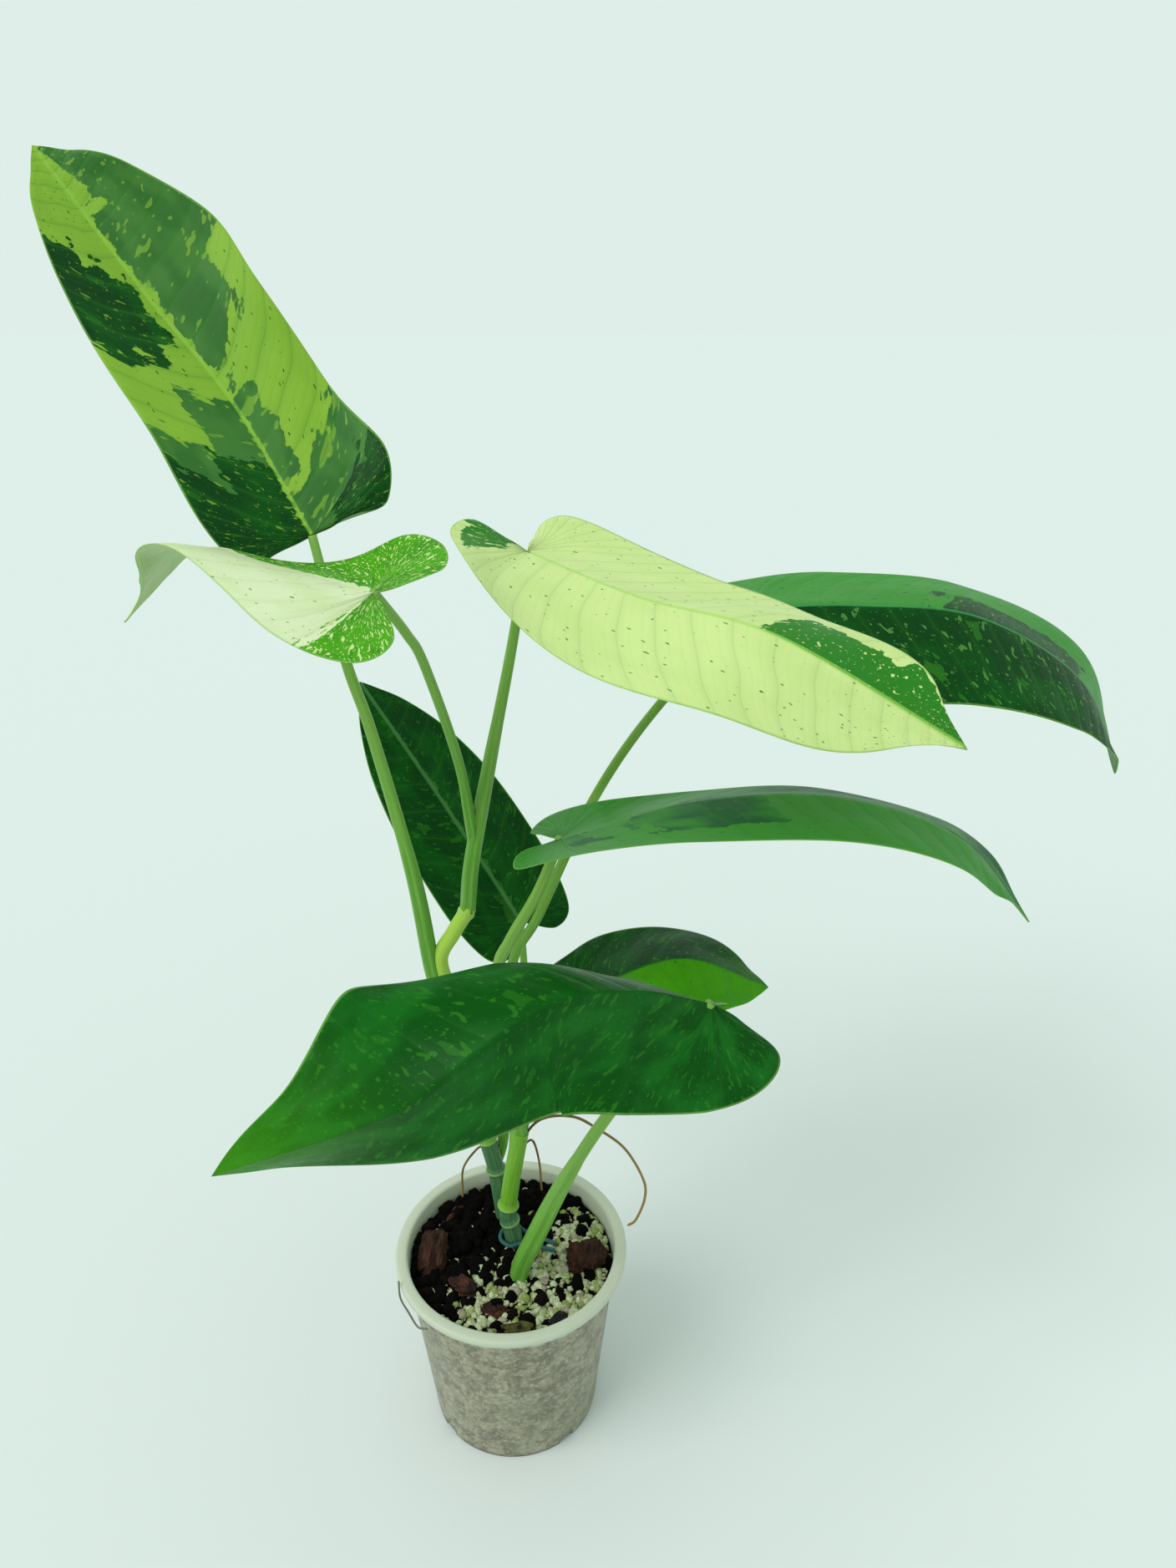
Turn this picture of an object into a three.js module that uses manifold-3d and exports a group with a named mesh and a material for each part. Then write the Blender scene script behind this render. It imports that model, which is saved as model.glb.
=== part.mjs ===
// A potted philodendron: eight variegated leaves on two canes, in a translucent nursery pot.
// Millimetres, +Z up. The origin is the centre of the pot's flat underside.
import * as THREE from "three";
import { mergeVertices } from "three/addons/utils/BufferGeometryUtils.js";
import Module from "manifold-3d";

const wasm = await Module();
wasm.setup();

// Room left between two pieces that touch.
const CLEARANCE = 0.3;
const SLIVER = 0.02; // thinner leftovers of a cut are smoothed over

// Pot: a thin tapered wall with a lip turned out at the mouth.
const POT_HEIGHT = 108;
const POT_MOUTH_RADIUS = 55;
const POT_BASE_RADIUS = 44;
const POT_WALL = 1.2;
const POT_FLOOR = 1.6;
const LIP_OVERHANG = 5;
const LIP_HEIGHT = 4;
const LIP_THICKNESS = 1.4;
const POT_SIDES = 48;
const DRAIN_HOLES = 6;
const DRAIN_HOLE_RADIUS = 4;
const DRAIN_RING_RADIUS = 27;
const EDGE_NOTCHES = 4;
const EDGE_NOTCH_WIDTH = 9;
const EDGE_NOTCH_HEIGHT = 4;
const EDGE_NOTCH_ANGLE = -50;

// Potting mix: fills the pot to a little below the rim, with an uneven top.
const MIX_BELOW_RIM = 10;
const MIX_ROUGHNESS = 1.2;

// Canes, petioles and roots.
const STEM_SIDES = 8;
const STEM_STEP = 16;
const ROOT_SIDES = 6;
const ROOT_STEP = 6;
const BURIED = 22;

// Blades.
const BLADE_THICKNESS = 0.8;
const MIDRIB_DEPTH = 1.2;
const BLADE_STEPS_ALONG = 18;
const BLADE_STEPS_ACROSS = 3;

// Half of a blade's outline, from the notch at the petiole round the basal lobe to the tip.
// Along the midrib a negative number is in lobe lengths and a positive one in blade lengths;
// across it the numbers are in half widths.
const OUTLINE = [
  [-0.06, 0.02],
  [-0.45, 0.16],
  [-1, 0.46],
  [-0.6, 0.8],
  [0.09, 0.97],
  [0.27, 1],
  [0.5, 0.95],
  [0.7, 0.76],
  [0.86, 0.45],
  [0.955, 0.16],
  [1, 0],
];
const LOBE_END = 0.3; // share of the outline that belongs to the lobe, whose veins fan out
const LEAN_REACH = 12; // out from the midrib, where the thickness is square to a folded half
const VEIN_SWEEP = 0.55; // how far a side vein runs forward for each step outwards

// Each leaf, measured from the middle of the mix's surface. The midrib runs from the petiole
// to the tip. facing is the way the upper face looks at the base and on to the tip. left and
// right are the two halves seen from above with the tip ahead. Each lists, round the outline
// from the notch to the tip, the angle in degrees at which it leaves the midrib (fold) and
// its width next to the other leaves' outline (spread). The petiole's route starts inside the
// piece that it grows from, and a leaf comes after the one whose petiole it grows from.
const LEAVES = {
  top_left: {
    midrib: [[-79, 57, 369], [-114, 88, 418], [-155, 112, 463], [-201, 134, 520]],
    facing: [[0.3, -0.93, 0.2], [0.3, -0.94, 0.15]],
    width: 92,
    lobe: 3,
    left: { fold: [30, 20, 40, 20], spread: [0.8, 0.92, 0.95, 1] },
    right: { fold: [15, 5, 0, 0], spread: [1, 1, 1, 1, 1.04, 0.87, 0.96, 1.28, 1.4, 1.5, 1.5] },
    petiole: [[-31, 21, 154], [-35, 24, 166], [-42, 30, 216], [-58, 42, 283], [-68, 49, 315]],
    petioleRadius: [3.8, 2],
    growsFrom: ["cane_back", "shoot_upper"],
  },
  lime_front: {
    midrib: [[14, 50, 364], [60, -5, 361], [109, -40, 357], [176, -62, 322]],
    facing: [[0, -0.3, 0.95], [0.05, -0.36, 0.93], [0.2, -0.4, 0.9]],
    width: 90,
    lobe: 15,
    left: { fold: [5, -3, -18, 60], spread: [1, 1] },
    right: { fold: [60, 30, -25, -40], spread: [1, 1] },
    petiole: [[-17, 28, 197], [-14, 30, 223], [-5, 37, 268], [6, 45, 320]],
    petioleRadius: [3.7, 1.9],
    growsFrom: ["shoot_upper"],
  },
  cream_left: {
    midrib: [[-39, -26, 369], [-81, 3, 371], [-119, 21, 374], [-137, 24, 362], [-151, 18, 343]],
    facing: [[0.1, -0.45, 0.9], [0, -0.35, 0.9], [-0.6, -0.5, 0.6]],
    width: 80,
    lobe: 24,
    left: { fold: [0, -10, 40, 10], spread: [1, 0.95, 0.85, 1] },
    right: { fold: [30, 15, -45, -35], spread: [0.85, 0.85, 0.5, 1] },
    petiole: [[-13, 31, 232], [-17, 26, 274], [-26, 3, 329], [-31, -8, 347]],
    petioleRadius: [2.4, 1.9],
    growsFrom: ["petiole_lime_front"],
  },
  dark_right: {
    midrib: [[116, 70, 333], [165, 80, 331], [225, 85, 323], [285, 98, 285], [314, 105, 232]],
    facing: [[0, -0.5, 0.85], [0, -0.5, 0.85], [0.6, -0.5, 0.6]],
    width: 94,
    lobe: 17,
    left: { fold: [-10, -30, -20, 0], spread: [1, 1, 1, 1.6] },
    right: { fold: [-25, -35, -5, 45], spread: [1, 1] },
    petiole: [[-9, 27, 38], [-4, 32, 62], [1, 38, 152], [16, 42, 186], [44, 53, 246], [75, 63, 290]],
    petioleRadius: [2.8, 2],
    growsFrom: ["cane_back"],
  },
  mid_right: {
    midrib: [[28, 10, 246], [85, 5, 267], [145, 2, 271], [200, 0, 252], [237, -2, 210]],
    facing: [[0, -0.05, 1], [0, -0.1, 1], [0.3, -0.45, 0.85]],
    width: 80,
    lobe: 18,
    left: { fold: [0, -10, -30, 0], spread: [1, 1] },
    right: { fold: [25, 15, 5, 40], spread: [1, 1] },
    petiole: [[6, 9, 74], [2, 10, 130], [-2, 12, 173], [4, 12, 191], [17, 11, 217]],
    petioleRadius: [3.7, 2.3],
    growsFrom: ["cane_front"],
  },
  dark_back: {
    midrib: [[5, 70, 164], [-36, 98, 220], [-77, 118, 278]],
    facing: [[0.25, -0.9, 0.3]],
    width: 62,
    lobe: 13,
    left: { fold: [8, 8, 12, 8], spread: [1, 1] },
    right: { fold: [10, 8, 8, 8], spread: [1, 1] },
    petiole: [[1, 9, 50], [5, 35, 105], [7, 56, 138]],
    petioleRadius: [2.4, 1.8],
    growsFrom: ["cane_front"],
  },
  low_front: {
    midrib: [[92, -40, 194], [59, -62, 216], [20, -88, 226], [-30, -113, 200], [-97, -125, 180]],
    facing: [[0.1, -0.75, 0.65], [-0.05, -0.8, 0.6], [-0.15, -0.9, 0.4]],
    width: 98,
    lobe: 34,
    left: { fold: [42, 5, -50, -60], spread: [0.85, 1, 1, 1] },
    right: { fold: [-70, -80, -85, -42, 5, 0], spread: [1, 0.95, 0.9, 0.72, 0.55, 0.6, 1, 1.34, 0.92, 1, 1] },
    petiole: [[2, -13, -BURIED], [5, -13, 5], [13, -15, 30], [28, -20, 72], [47, -28, 118], [71, -36, 164]],
    petioleRadius: [4, 2.2],
    growsFrom: [],
  },
  small_right: {
    midrib: [[34, 20, 155], [85, 31, 168], [130, 36, 147]],
    facing: [[0, -0.1, 1], [0, -0.1, 1], [0.4, -0.1, 0.9]],
    width: 72,
    lobe: 10,
    left: { fold: [-5, -5, -10, 0], spread: [1, 1] },
    right: { fold: [-30, -30, -25, -25], spread: [1, 1] },
    petiole: [[5, 10, 68], [18, 16, 122]],
    petioleRadius: [2.2, 1.7],
    growsFrom: ["cane_front", "petiole_mid_right"],
  },
};

// Canes, from the middle of the mix's surface. rings are the scars of fallen leaves: the
// height on the cane as a share of its length, with how far the ring stands out.
const CANES = {
  cane_back: {
    route: [[-5, 27, -BURIED], [-6, 27, 5], [-9, 26, 37], [-13, 25, 60], [-21, 23, 110], [-29, 22, 160]],
    radius: [4.6, 4.4],
    rings: [[0.32, 1.1], [0.44, 0.8]],
    growsFrom: [],
  },
  cane_front: {
    route: [[2, 9, -BURIED], [1, 9, 0], [-1, 9, 16], [-2, 9, 24], [1, 9, 48], [6, 9, 78]],
    radius: [4.8, 4.3],
    rings: [[0.39, 0.9], [0.5, 1.3]],
    growsFrom: [],
  },
  shoot_upper: {
    route: [[-28, 23, 155], [-31, 25, 172], [-24, 26, 186], [-16, 28, 199]],
    radius: [3.8, 3.7],
    rings: [[0.93, 0.7]],
    growsFrom: ["cane_back"],
  },
};
const RING_HALF_WIDTH = 2;

// Aerial roots. The short ones leave a cane and dive into the mix near the wall: start lists
// points from the middle of the mix's surface, and end gives the bearing in degrees and how
// far inside the mix's edge the root goes down.
const SHORT_ROOTS = {
  root_back_left: {
    start: [[-14, 26, 52], [-19, 32, 45]],
    end: { bearing: 128, inset: 4 },
    radius: 0.6,
    growsFrom: ["cane_back"],
  },
  root_back_middle: {
    start: [[5, 11, 64], [11, 20, 62]],
    end: { bearing: 72, inset: 6 },
    radius: 0.6,
    growsFrom: ["cane_front"],
  },
};
const ROOT_DIVE = 8;
const LONG_ROOT_RADIUS = 0.7;
const LONG_ROOT_REACH = 9; // how far its loop stands out past the lip
const THIN_ROOT_RADIUS = 0.5;

// The soft tie round the foot of the front cane, from the middle of the mix's surface.
const TIE_RADIUS = 1.1;
const TIE_ROOM = 1.2;
const TIE_HEIGHT = 6;
const TIE_TAIL_GAP = 2.5; // between the tails and the coco chunk that they point at

// Loose pieces bedded in the mix. bearing is in degrees round the pot from +X, reach is how
// far towards the wall each one lies, from 0 in the middle to 1 against the wall, size is its
// width towards the wall, its length along the wall and its height, turn its own angle about
// Z, and sunk the share of its height below the surface. A piece that lies beside another has
// that one's bearing and its own distance past it, round the pot.
const CHUNKS = {
  coco_chunk_right: { bearing: -3, reach: 1, size: [24, 22, 15], turn: 15, sunk: 0.35, colour: 0x4a2a1a },
  coco_chunk_left: { bearing: 179, reach: 1, size: [17, 34, 14], turn: 0, sunk: 0.4, colour: 0x3a2015 },
  bark_flake_red: { bearing: 179, past: 22.4, reach: 0.66, size: [10, 18, 7], turn: 12, sunk: 0.2, colour: 0x6a3220 },
  bark_piece_dark: { bearing: 277, past: -10.8, reach: 0.74, size: [8, 14, 7], turn: -10, sunk: 0.3, colour: 0x4a1f17 },
  bark_piece_mossy: { bearing: 277, reach: 0.98, size: [8, 18, 8], turn: 0, sunk: 0.3, colour: 0x4c4428 },
  charcoal_chip: { bearing: 302, reach: 0.98, size: [7, 12, 6], turn: 10, sunk: 0.3, colour: 0x1d1a18 },
  bark_sliver: { bearing: 179, past: -30.5, reach: 0.9, size: [5, 20, 5], turn: 6, sunk: 0.3, colour: 0x4a3222 },
};

// Where the pieces meet: worked out from the sizes above.
const MIX_TOP = POT_HEIGHT - MIX_BELOW_RIM;
const LIP_RADIUS = POT_MOUTH_RADIUS + LIP_OVERHANG;
const WALL_TOP = POT_HEIGHT - LIP_THICKNESS;
const MIX_RADIUS = wallRadiusAt(MIX_TOP) - POT_WALL - 2 * CLEARANCE;

function wallRadiusAt(z) {
  return POT_BASE_RADIUS + ((POT_MOUTH_RADIUS - POT_BASE_RADIUS) * z) / WALL_TOP;
}

function vectors(points) {
  return points.map((p) => new THREE.Vector3(...p));
}

function splineThrough(points) {
  return new THREE.CatmullRomCurve3(vectors(points), false, "catmullrom");
}

// The value at share t of the way along an evenly spaced list.
function blend(values, t) {
  const spaced = values.map((v, i) => new THREE.Vector2(i, v));
  return new THREE.SplineCurve(spaced).getPoint(THREE.MathUtils.clamp(t, 0, 1)).y;
}

// A geometry as a solid, without the triangles that its folded vertices leave empty.
function solidOf(geometry) {
  const bare = geometry.clone();
  bare.deleteAttribute("normal");
  bare.deleteAttribute("uv");
  const merged = mergeVertices(bare, 1e-3);
  const corners = [];
  for (let i = 0; i < merged.index.count; i += 3) {
    const [a, b, c] = [0, 1, 2].map((k) => merged.index.getX(i + k));
    if (a !== b && b !== c && c !== a) corners.push(a, b, c);
  }
  const mesh = new wasm.Mesh({
    numProp: 3,
    vertProperties: merged.attributes.position.array,
    triVerts: new Uint32Array(corners),
  });
  return new wasm.Manifold(mesh);
}

function geometryOf(solid) {
  const mesh = solid.getMesh();
  const geometry = new THREE.BufferGeometry();
  geometry.setAttribute("position", new THREE.BufferAttribute(mesh.vertProperties, 3));
  geometry.setIndex(new THREE.BufferAttribute(mesh.triVerts, 1));
  geometry.computeVertexNormals();
  return geometry;
}

// Cuts tools away and keeps the largest body, so no crumb of a cut is left beside it, and
// no sliver of a triangle on it.
function cut(solid, tools) {
  const left = tools.reduce((rest, tool) => rest.subtract(tool), solid).simplify(SLIVER);
  return left.decompose().reduce((a, b) => (b.volume() > a.volume() ? b : a));
}

function moveVertices(geometry, place) {
  const position = geometry.attributes.position;
  const point = new THREE.Vector3();
  for (let i = 0; i < position.count; i++) {
    point.fromBufferAttribute(position, i);
    place(point, i);
    position.setXYZ(i, point.x, point.y, point.z);
  }
  return geometry;
}

// A round stem along a curve: a turned profile of [share of the length, radius] rows, bent
// to the curve. grow makes it fatter and longer all round.
function stemSolid(curve, rows, sides, grow = 0) {
  const profile = rows.map(([share, radius]) => new THREE.Vector2(radius + grow, share));
  profile.unshift(new THREE.Vector2(0, 0));
  profile.push(new THREE.Vector2(0, 1));
  const fine = 200;
  const frames = curve.computeFrenetFrames(fine);
  const turned = new THREE.LatheGeometry(profile, sides);
  const bent = moveVertices(turned, (point, i) => {
    const row = i % profile.length;
    const share = profile[row].y;
    const k = Math.round(share * fine);
    const overrun = share === 0 ? -grow : share === 1 ? grow : 0;
    const across = point.x;
    const up = point.z;
    curve.getPointAt(share, point);
    point.addScaledVector(frames.tangents[k], overrun);
    point.addScaledVector(frames.normals[k], across);
    point.addScaledVector(frames.binormals[k], up);
  });
  return facingOut(solidOf(bent), bent);
}

// The bend can leave a turned solid inside out: then its triangles are turned round.
function facingOut(solid, geometry) {
  if (solid.volume() > 0) return solid;
  const flipped = geometry.clone();
  const index = flipped.index.array;
  for (let i = 0; i < index.length; i += 3) [index[i], index[i + 1]] = [index[i + 1], index[i]];
  return solidOf(flipped);
}

// Rows for a stem that tapers evenly and carries rings.
function stemRows(length, [footRadius, headRadius], rings, step) {
  const count = Math.ceil(length / step);
  const shares = Array.from({ length: count + 1 }, (_, i) => i / count);
  const half = RING_HALF_WIDTH / length;
  const clear = shares.filter((s) => rings.every(([at]) => Math.abs(s - at) > half * 2));
  const taper = (s) => THREE.MathUtils.lerp(footRadius, headRadius, s);
  const rows = clear.map((s) => [s, taper(s)]);
  for (const [at, height] of rings) {
    rows.push([at - half, taper(at)], [at, taper(at) + height], [at + half, taper(at)]);
  }
  return rows.sort((a, b) => a[0] - b[0]);
}

// Adds a stem to the built pieces, cut clear of what it grows from. It keeps the fatter
// copy that its neighbours are cut with.
function growStem(name, curve, rows, sides, growsFrom, built) {
  const tools = growsFrom.map((other) => built[other].room);
  built[name] = {
    solid: cut(stemSolid(curve, rows, sides), tools),
    room: stemSolid(curve, rows, sides, CLEARANCE),
  };
}

// The point and the axes of a blade's midrib at a distance from its base. Behind the base
// the axes stay as they are there, which carries the lobes straight back.
function midribFrame(leaf, curve, length, distance) {
  const share = THREE.MathUtils.clamp(distance / length, 0, 1);
  const along = curve.getTangentAt(share);
  const facing = new THREE.Vector3(...[0, 1, 2].map((k) => blend(leaf.facing.map((f) => f[k]), share)));
  facing.addScaledVector(along, -facing.dot(along)).normalize();
  const origin = curve.getPointAt(share).addScaledVector(along, Math.min(distance, 0));
  return { origin, along, facing, across: new THREE.Vector3().crossVectors(facing, along) };
}

// A point of the blade's upper or under face. u runs round the outline from the notch to
// the tip and v from the midrib to the edge. The under face stands out along the midrib.
function bladePoint(leaf, curve, length, outline, u, v, side, under) {
  const edge = outline.getPoint(u);
  const settle = THREE.MathUtils.smoothstep(u, 0.6, 1);
  const sweep = VEIN_SWEEP * (1 - 0.6 * settle);
  const foot = u < LOBE_END ? 0 : Math.max(edge.x - sweep * edge.y, 0);
  const knee = new THREE.Vector2(foot + 0.3 * (edge.x - foot), 0.6 * edge.y);
  const vein = new THREE.QuadraticBezierCurve(new THREE.Vector2(foot, 0), knee, edge);
  const { x: distance, y: out } = vein.getPoint(v);
  const { origin, facing, across } = midribFrame(leaf, curve, length, distance);
  const ridge = v === 0 ? MIDRIB_DEPTH * Math.sin(Math.PI * Math.sqrt(distance / length)) : 0;
  const depth = under ? BLADE_THICKNESS + ridge : 0;
  const half = side > 0 ? leaf.left : leaf.right;
  const tilt = THREE.MathUtils.degToRad(blend(half.fold, u));
  const reach = out * blend(half.spread, u);
  const lean = tilt * THREE.MathUtils.smoothstep(reach, 0, LEAN_REACH);
  return origin
    .addScaledVector(across, side * (reach * Math.cos(tilt) + depth * Math.sin(lean)))
    .addScaledVector(facing, reach * Math.sin(tilt) - depth * Math.cos(lean));
}

// Splits the under face's quads along the same diagonals as the upper face's, so that the
// two faces stay a blade's thickness apart where it twists.
function matchUnderFace(slab) {
  const index = slab.index.array;
  const { start, count } = slab.groups[5];
  for (let i = start; i < start + count; i += 6) {
    const [a, b, d, , c] = index.slice(i, i + 5);
    index.set([a, b, c, a, c, d], i);
  }
}

// A blade: a thin slab whose long axis follows the outline and whose middle line is the
// midrib, which stands out underneath.
function bladeSolid(leaf) {
  const curve = splineThrough(leaf.midrib);
  const length = curve.getLength();
  const outline = new THREE.SplineCurve(
    OUTLINE.map(([x, y]) => new THREE.Vector2(x * (x < 0 ? leaf.lobe : length), (y * leaf.width) / 2)),
  );
  const slab = new THREE.BoxGeometry(1, 2, 1, BLADE_STEPS_ALONG, 2 * BLADE_STEPS_ACROSS, 1);
  matchUnderFace(slab);
  const shaped = moveVertices(slab, (point) => {
    const u = point.x + 0.5;
    const v = Math.abs(point.y);
    const side = point.y < 0 ? -1 : 1;
    point.copy(bladePoint(leaf, curve, length, outline, u, v, side, point.z < 0));
  });
  return facingOut(solidOf(shaped), shaped);
}

function potSolid() {
  const lipFoot = POT_HEIGHT - LIP_HEIGHT;
  const inner = (z) => wallRadiusAt(z) - POT_WALL;
  const profile = [
    [0, 0],
    [wallRadiusAt(0), 0],
    [wallRadiusAt(lipFoot), lipFoot],
    [wallRadiusAt(WALL_TOP), WALL_TOP],
    [LIP_RADIUS - LIP_THICKNESS, WALL_TOP],
    [LIP_RADIUS - LIP_THICKNESS, lipFoot],
    [LIP_RADIUS, lipFoot],
    [LIP_RADIUS, POT_HEIGHT - LIP_THICKNESS / 2],
    [LIP_RADIUS - LIP_THICKNESS / 2, POT_HEIGHT],
    [inner(WALL_TOP), POT_HEIGHT],
    [inner(POT_FLOOR), POT_FLOOR],
    [0, POT_FLOOR],
  ].map(([r, z]) => new THREE.Vector2(r, z));
  const upright = new THREE.LatheGeometry(profile, POT_SIDES).rotateX(Math.PI / 2);
  const tools = [];
  for (let i = 0; i < DRAIN_HOLES; i++) {
    const angle = (i * 2 * Math.PI) / DRAIN_HOLES;
    const drill = new THREE.CylinderGeometry(DRAIN_HOLE_RADIUS, DRAIN_HOLE_RADIUS, 4 * POT_FLOOR, 12);
    drill.rotateX(Math.PI / 2);
    drill.translate(DRAIN_RING_RADIUS * Math.cos(angle), DRAIN_RING_RADIUS * Math.sin(angle), 0);
    tools.push(solidOf(drill));
  }
  for (let i = 0; i < EDGE_NOTCHES; i++) {
    const angle = THREE.MathUtils.degToRad(EDGE_NOTCH_ANGLE) + (i * 2 * Math.PI) / EDGE_NOTCHES;
    const notch = new THREE.BoxGeometry(4 * EDGE_NOTCH_HEIGHT, EDGE_NOTCH_WIDTH, 2 * EDGE_NOTCH_HEIGHT);
    notch.translate(POT_BASE_RADIUS + EDGE_NOTCH_HEIGHT, 0, 0).rotateZ(angle);
    tools.push(solidOf(notch));
  }
  return cut(facingOut(solidOf(upright), upright), tools);
}

// The mix's uneven surface, above or below its mean level.
function mixLump(x, y) {
  return MIX_ROUGHNESS * (Math.sin(x / 8 + 1) * Math.cos(y / 7) + 0.5 * Math.sin((x - y) / 5));
}

function mixSolid(tools) {
  const room = POT_WALL + CLEARANCE;
  const floor = POT_FLOOR + CLEARANCE;
  const rings = 5;
  const profile = [new THREE.Vector2(0, floor), new THREE.Vector2(wallRadiusAt(floor) - room, floor)];
  for (let i = rings; i >= 0; i--) profile.push(new THREE.Vector2((MIX_RADIUS * i) / rings, MIX_TOP));
  const upright = new THREE.LatheGeometry(profile, 32).rotateX(Math.PI / 2);
  moveVertices(upright, (point) => {
    const inside = 1 - Math.min(1, Math.hypot(point.x, point.y) / MIX_RADIUS) ** 6;
    if (point.z > floor) point.z += inside * mixLump(point.x, point.y);
  });
  return cut(facingOut(solidOf(upright), upright), tools);
}

// How far a chunk's middle lies from the pot's axis, with room for its corners at the wall.
function chunkRadius({ reach, size: [width, length] }) {
  return reach * (MIX_RADIUS - width / 2 - length ** 2 / (8 * MIX_RADIUS));
}

// A rough lump bedded in the mix, from a rounded block whose corners are knocked about.
function chunkSolid(chunk, grow = 0) {
  const [width, length, height] = chunk.size;
  const lump = new THREE.IcosahedronGeometry(0.5, 1);
  const seed = chunk.bearing;
  const radius = chunkRadius(chunk);
  moveVertices(lump, (point) => {
    const knock = 1 + 0.12 * Math.sin(7 * point.x + seed) * Math.cos(9 * point.y - seed);
    point.multiplyScalar(knock);
    point.set(
      point.x * (width + 2 * grow),
      point.y * (length + 2 * grow),
      point.z * (height + 2 * grow),
    );
  });
  const rise = MIX_TOP + height * (0.5 - chunk.sunk);
  lump.rotateZ(THREE.MathUtils.degToRad(chunk.turn)).translate(radius, 0, rise);
  const around = THREE.MathUtils.degToRad(chunk.bearing) + (chunk.past ?? 0) / radius;
  return solidOf(lump.rotateZ(around));
}

function finish(name, colour, roughness) {
  const material = new THREE.MeshStandardMaterial({ color: colour, roughness, metalness: 0 });
  material.name = name;
  return material;
}

const group = new THREE.Group();
const built = {};

// Adds a finished solid as a mesh. Plant pieces are measured from the mix's surface.
function addMesh(name, solid, material) {
  const mesh = new THREE.Mesh(geometryOf(solid), material);
  mesh.name = name;
  group.add(mesh);
}

function onMix(points) {
  return points.map(([x, y, z]) => [x, y, z + MIX_TOP]);
}

for (const [name, cane] of Object.entries(CANES)) {
  const curve = splineThrough(onMix(cane.route));
  const rows = stemRows(curve.getLength(), cane.radius, cane.rings, STEM_STEP);
  growStem(name, curve, rows, STEM_SIDES, cane.growsFrom, built);
  addMesh(name, built[name].solid, finish("cane", 0x3c7a50, 0.5));
}

for (const [key, leaf] of Object.entries(LEAVES)) {
  const name = "petiole_" + key;
  const curve = splineThrough(onMix([...leaf.petiole, leaf.midrib[0]]));
  const rows = stemRows(curve.getLength(), leaf.petioleRadius, [], STEM_STEP);
  growStem(name, curve, rows, STEM_SIDES, leaf.growsFrom, built);
  addMesh(name, built[name].solid, finish("petiole", 0x7cb342, 0.45));
}

for (const [key, leaf] of Object.entries(LEAVES)) {
  const placed = { ...leaf, midrib: onMix(leaf.midrib) };
  const solid = cut(bladeSolid(placed), [built["petiole_" + key].room]);
  addMesh("leaf_" + key, solid, finish("leaf", 0x2e7d32, 0.4));
}

const roots = {};
for (const [name, { start, end, radius, growsFrom }] of Object.entries(SHORT_ROOTS)) {
  const angle = THREE.MathUtils.degToRad(end.bearing);
  const dive = [28, 8, -ROOT_DIVE].map((z) => {
    const out = MIX_RADIUS - end.inset - z / 8;
    return [out * Math.cos(angle), out * Math.sin(angle), z];
  });
  roots[name] = { route: [...start, ...dive], radius, growsFrom };
}

// The long root leaves the front cane, loops out past the lip and comes to rest against it.
const lipSide = LIP_RADIUS + CLEARANCE + LONG_ROOT_RADIUS;
roots.root_long_right = {
  route: [
    [5, 10, 70],
    [16, 11, 84],
    [32, 11, 86],
    [45, 13, 76],
    [lipSide - 2, 16, 60],
    [lipSide + LONG_ROOT_REACH - 1, 17, 38],
    [lipSide + LONG_ROOT_REACH, 17, 24],
    [lipSide + LONG_ROOT_REACH / 2, 16, 10],
    [lipSide, 14, MIX_BELOW_RIM - LIP_HEIGHT / 2],
  ],
  radius: LONG_ROOT_RADIUS,
  growsFrom: ["cane_front"],
};

// The thin root hangs round the outside of the lip.
const thinRing = LIP_RADIUS + CLEARANCE + THIN_ROOT_RADIUS;
const thinTurns = [[205, 12], [209, 5], [216, 1], [225, 1], [231, 4]];
roots.root_thin_left = {
  route: thinTurns.map(([bearing, z], i) => {
    const angle = THREE.MathUtils.degToRad(bearing);
    const out = thinRing + (i % 2);
    return [out * Math.cos(angle), out * Math.sin(angle), z];
  }),
  radius: THIN_ROOT_RADIUS,
  growsFrom: [],
};

for (const [name, root] of Object.entries(roots)) {
  const curve = splineThrough(onMix(root.route));
  const rows = stemRows(curve.getLength(), [root.radius, root.radius], [], ROOT_STEP);
  growStem(name, curve, rows, ROOT_SIDES, root.growsFrom, built);
  addMesh(name, built[name].solid, finish("root", 0x8a7442, 0.8));
}

// The tie goes once round the front cane and leaves to the right in two tails.
const tieAround = Math.max(...CANES.cane_front.radius) + TIE_ROOM + TIE_RADIUS;
const tieCentre = new THREE.Vector2(0.5, 9);
const tieTurn = [20, 80, 140, 200, 260, 310].map((bearing) => {
  const angle = THREE.MathUtils.degToRad(bearing);
  const { x, y } = tieCentre;
  return [x + tieAround * Math.cos(angle), y + tieAround * Math.sin(angle), TIE_HEIGHT];
});
const neighbour = CHUNKS.coco_chunk_right;
const tailReach = chunkRadius(neighbour) - neighbour.size[0] / 2 - TIE_RADIUS - TIE_TAIL_GAP;
const lowTail = [tailReach, 1, TIE_HEIGHT - 2];
const highTail = [tailReach, 1 + 4 * TIE_RADIUS, TIE_HEIGHT - 2];
const tieCurve = splineThrough(onMix([highTail, ...tieTurn, lowTail]));
const tieRows = stemRows(tieCurve.getLength(), [TIE_RADIUS, TIE_RADIUS], [], ROOT_STEP / 2);
growStem("plant_tie", tieCurve, tieRows, ROOT_SIDES, [], built);
addMesh("plant_tie", built.plant_tie.solid, finish("tie", 0x2e5e5e, 0.6));

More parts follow.
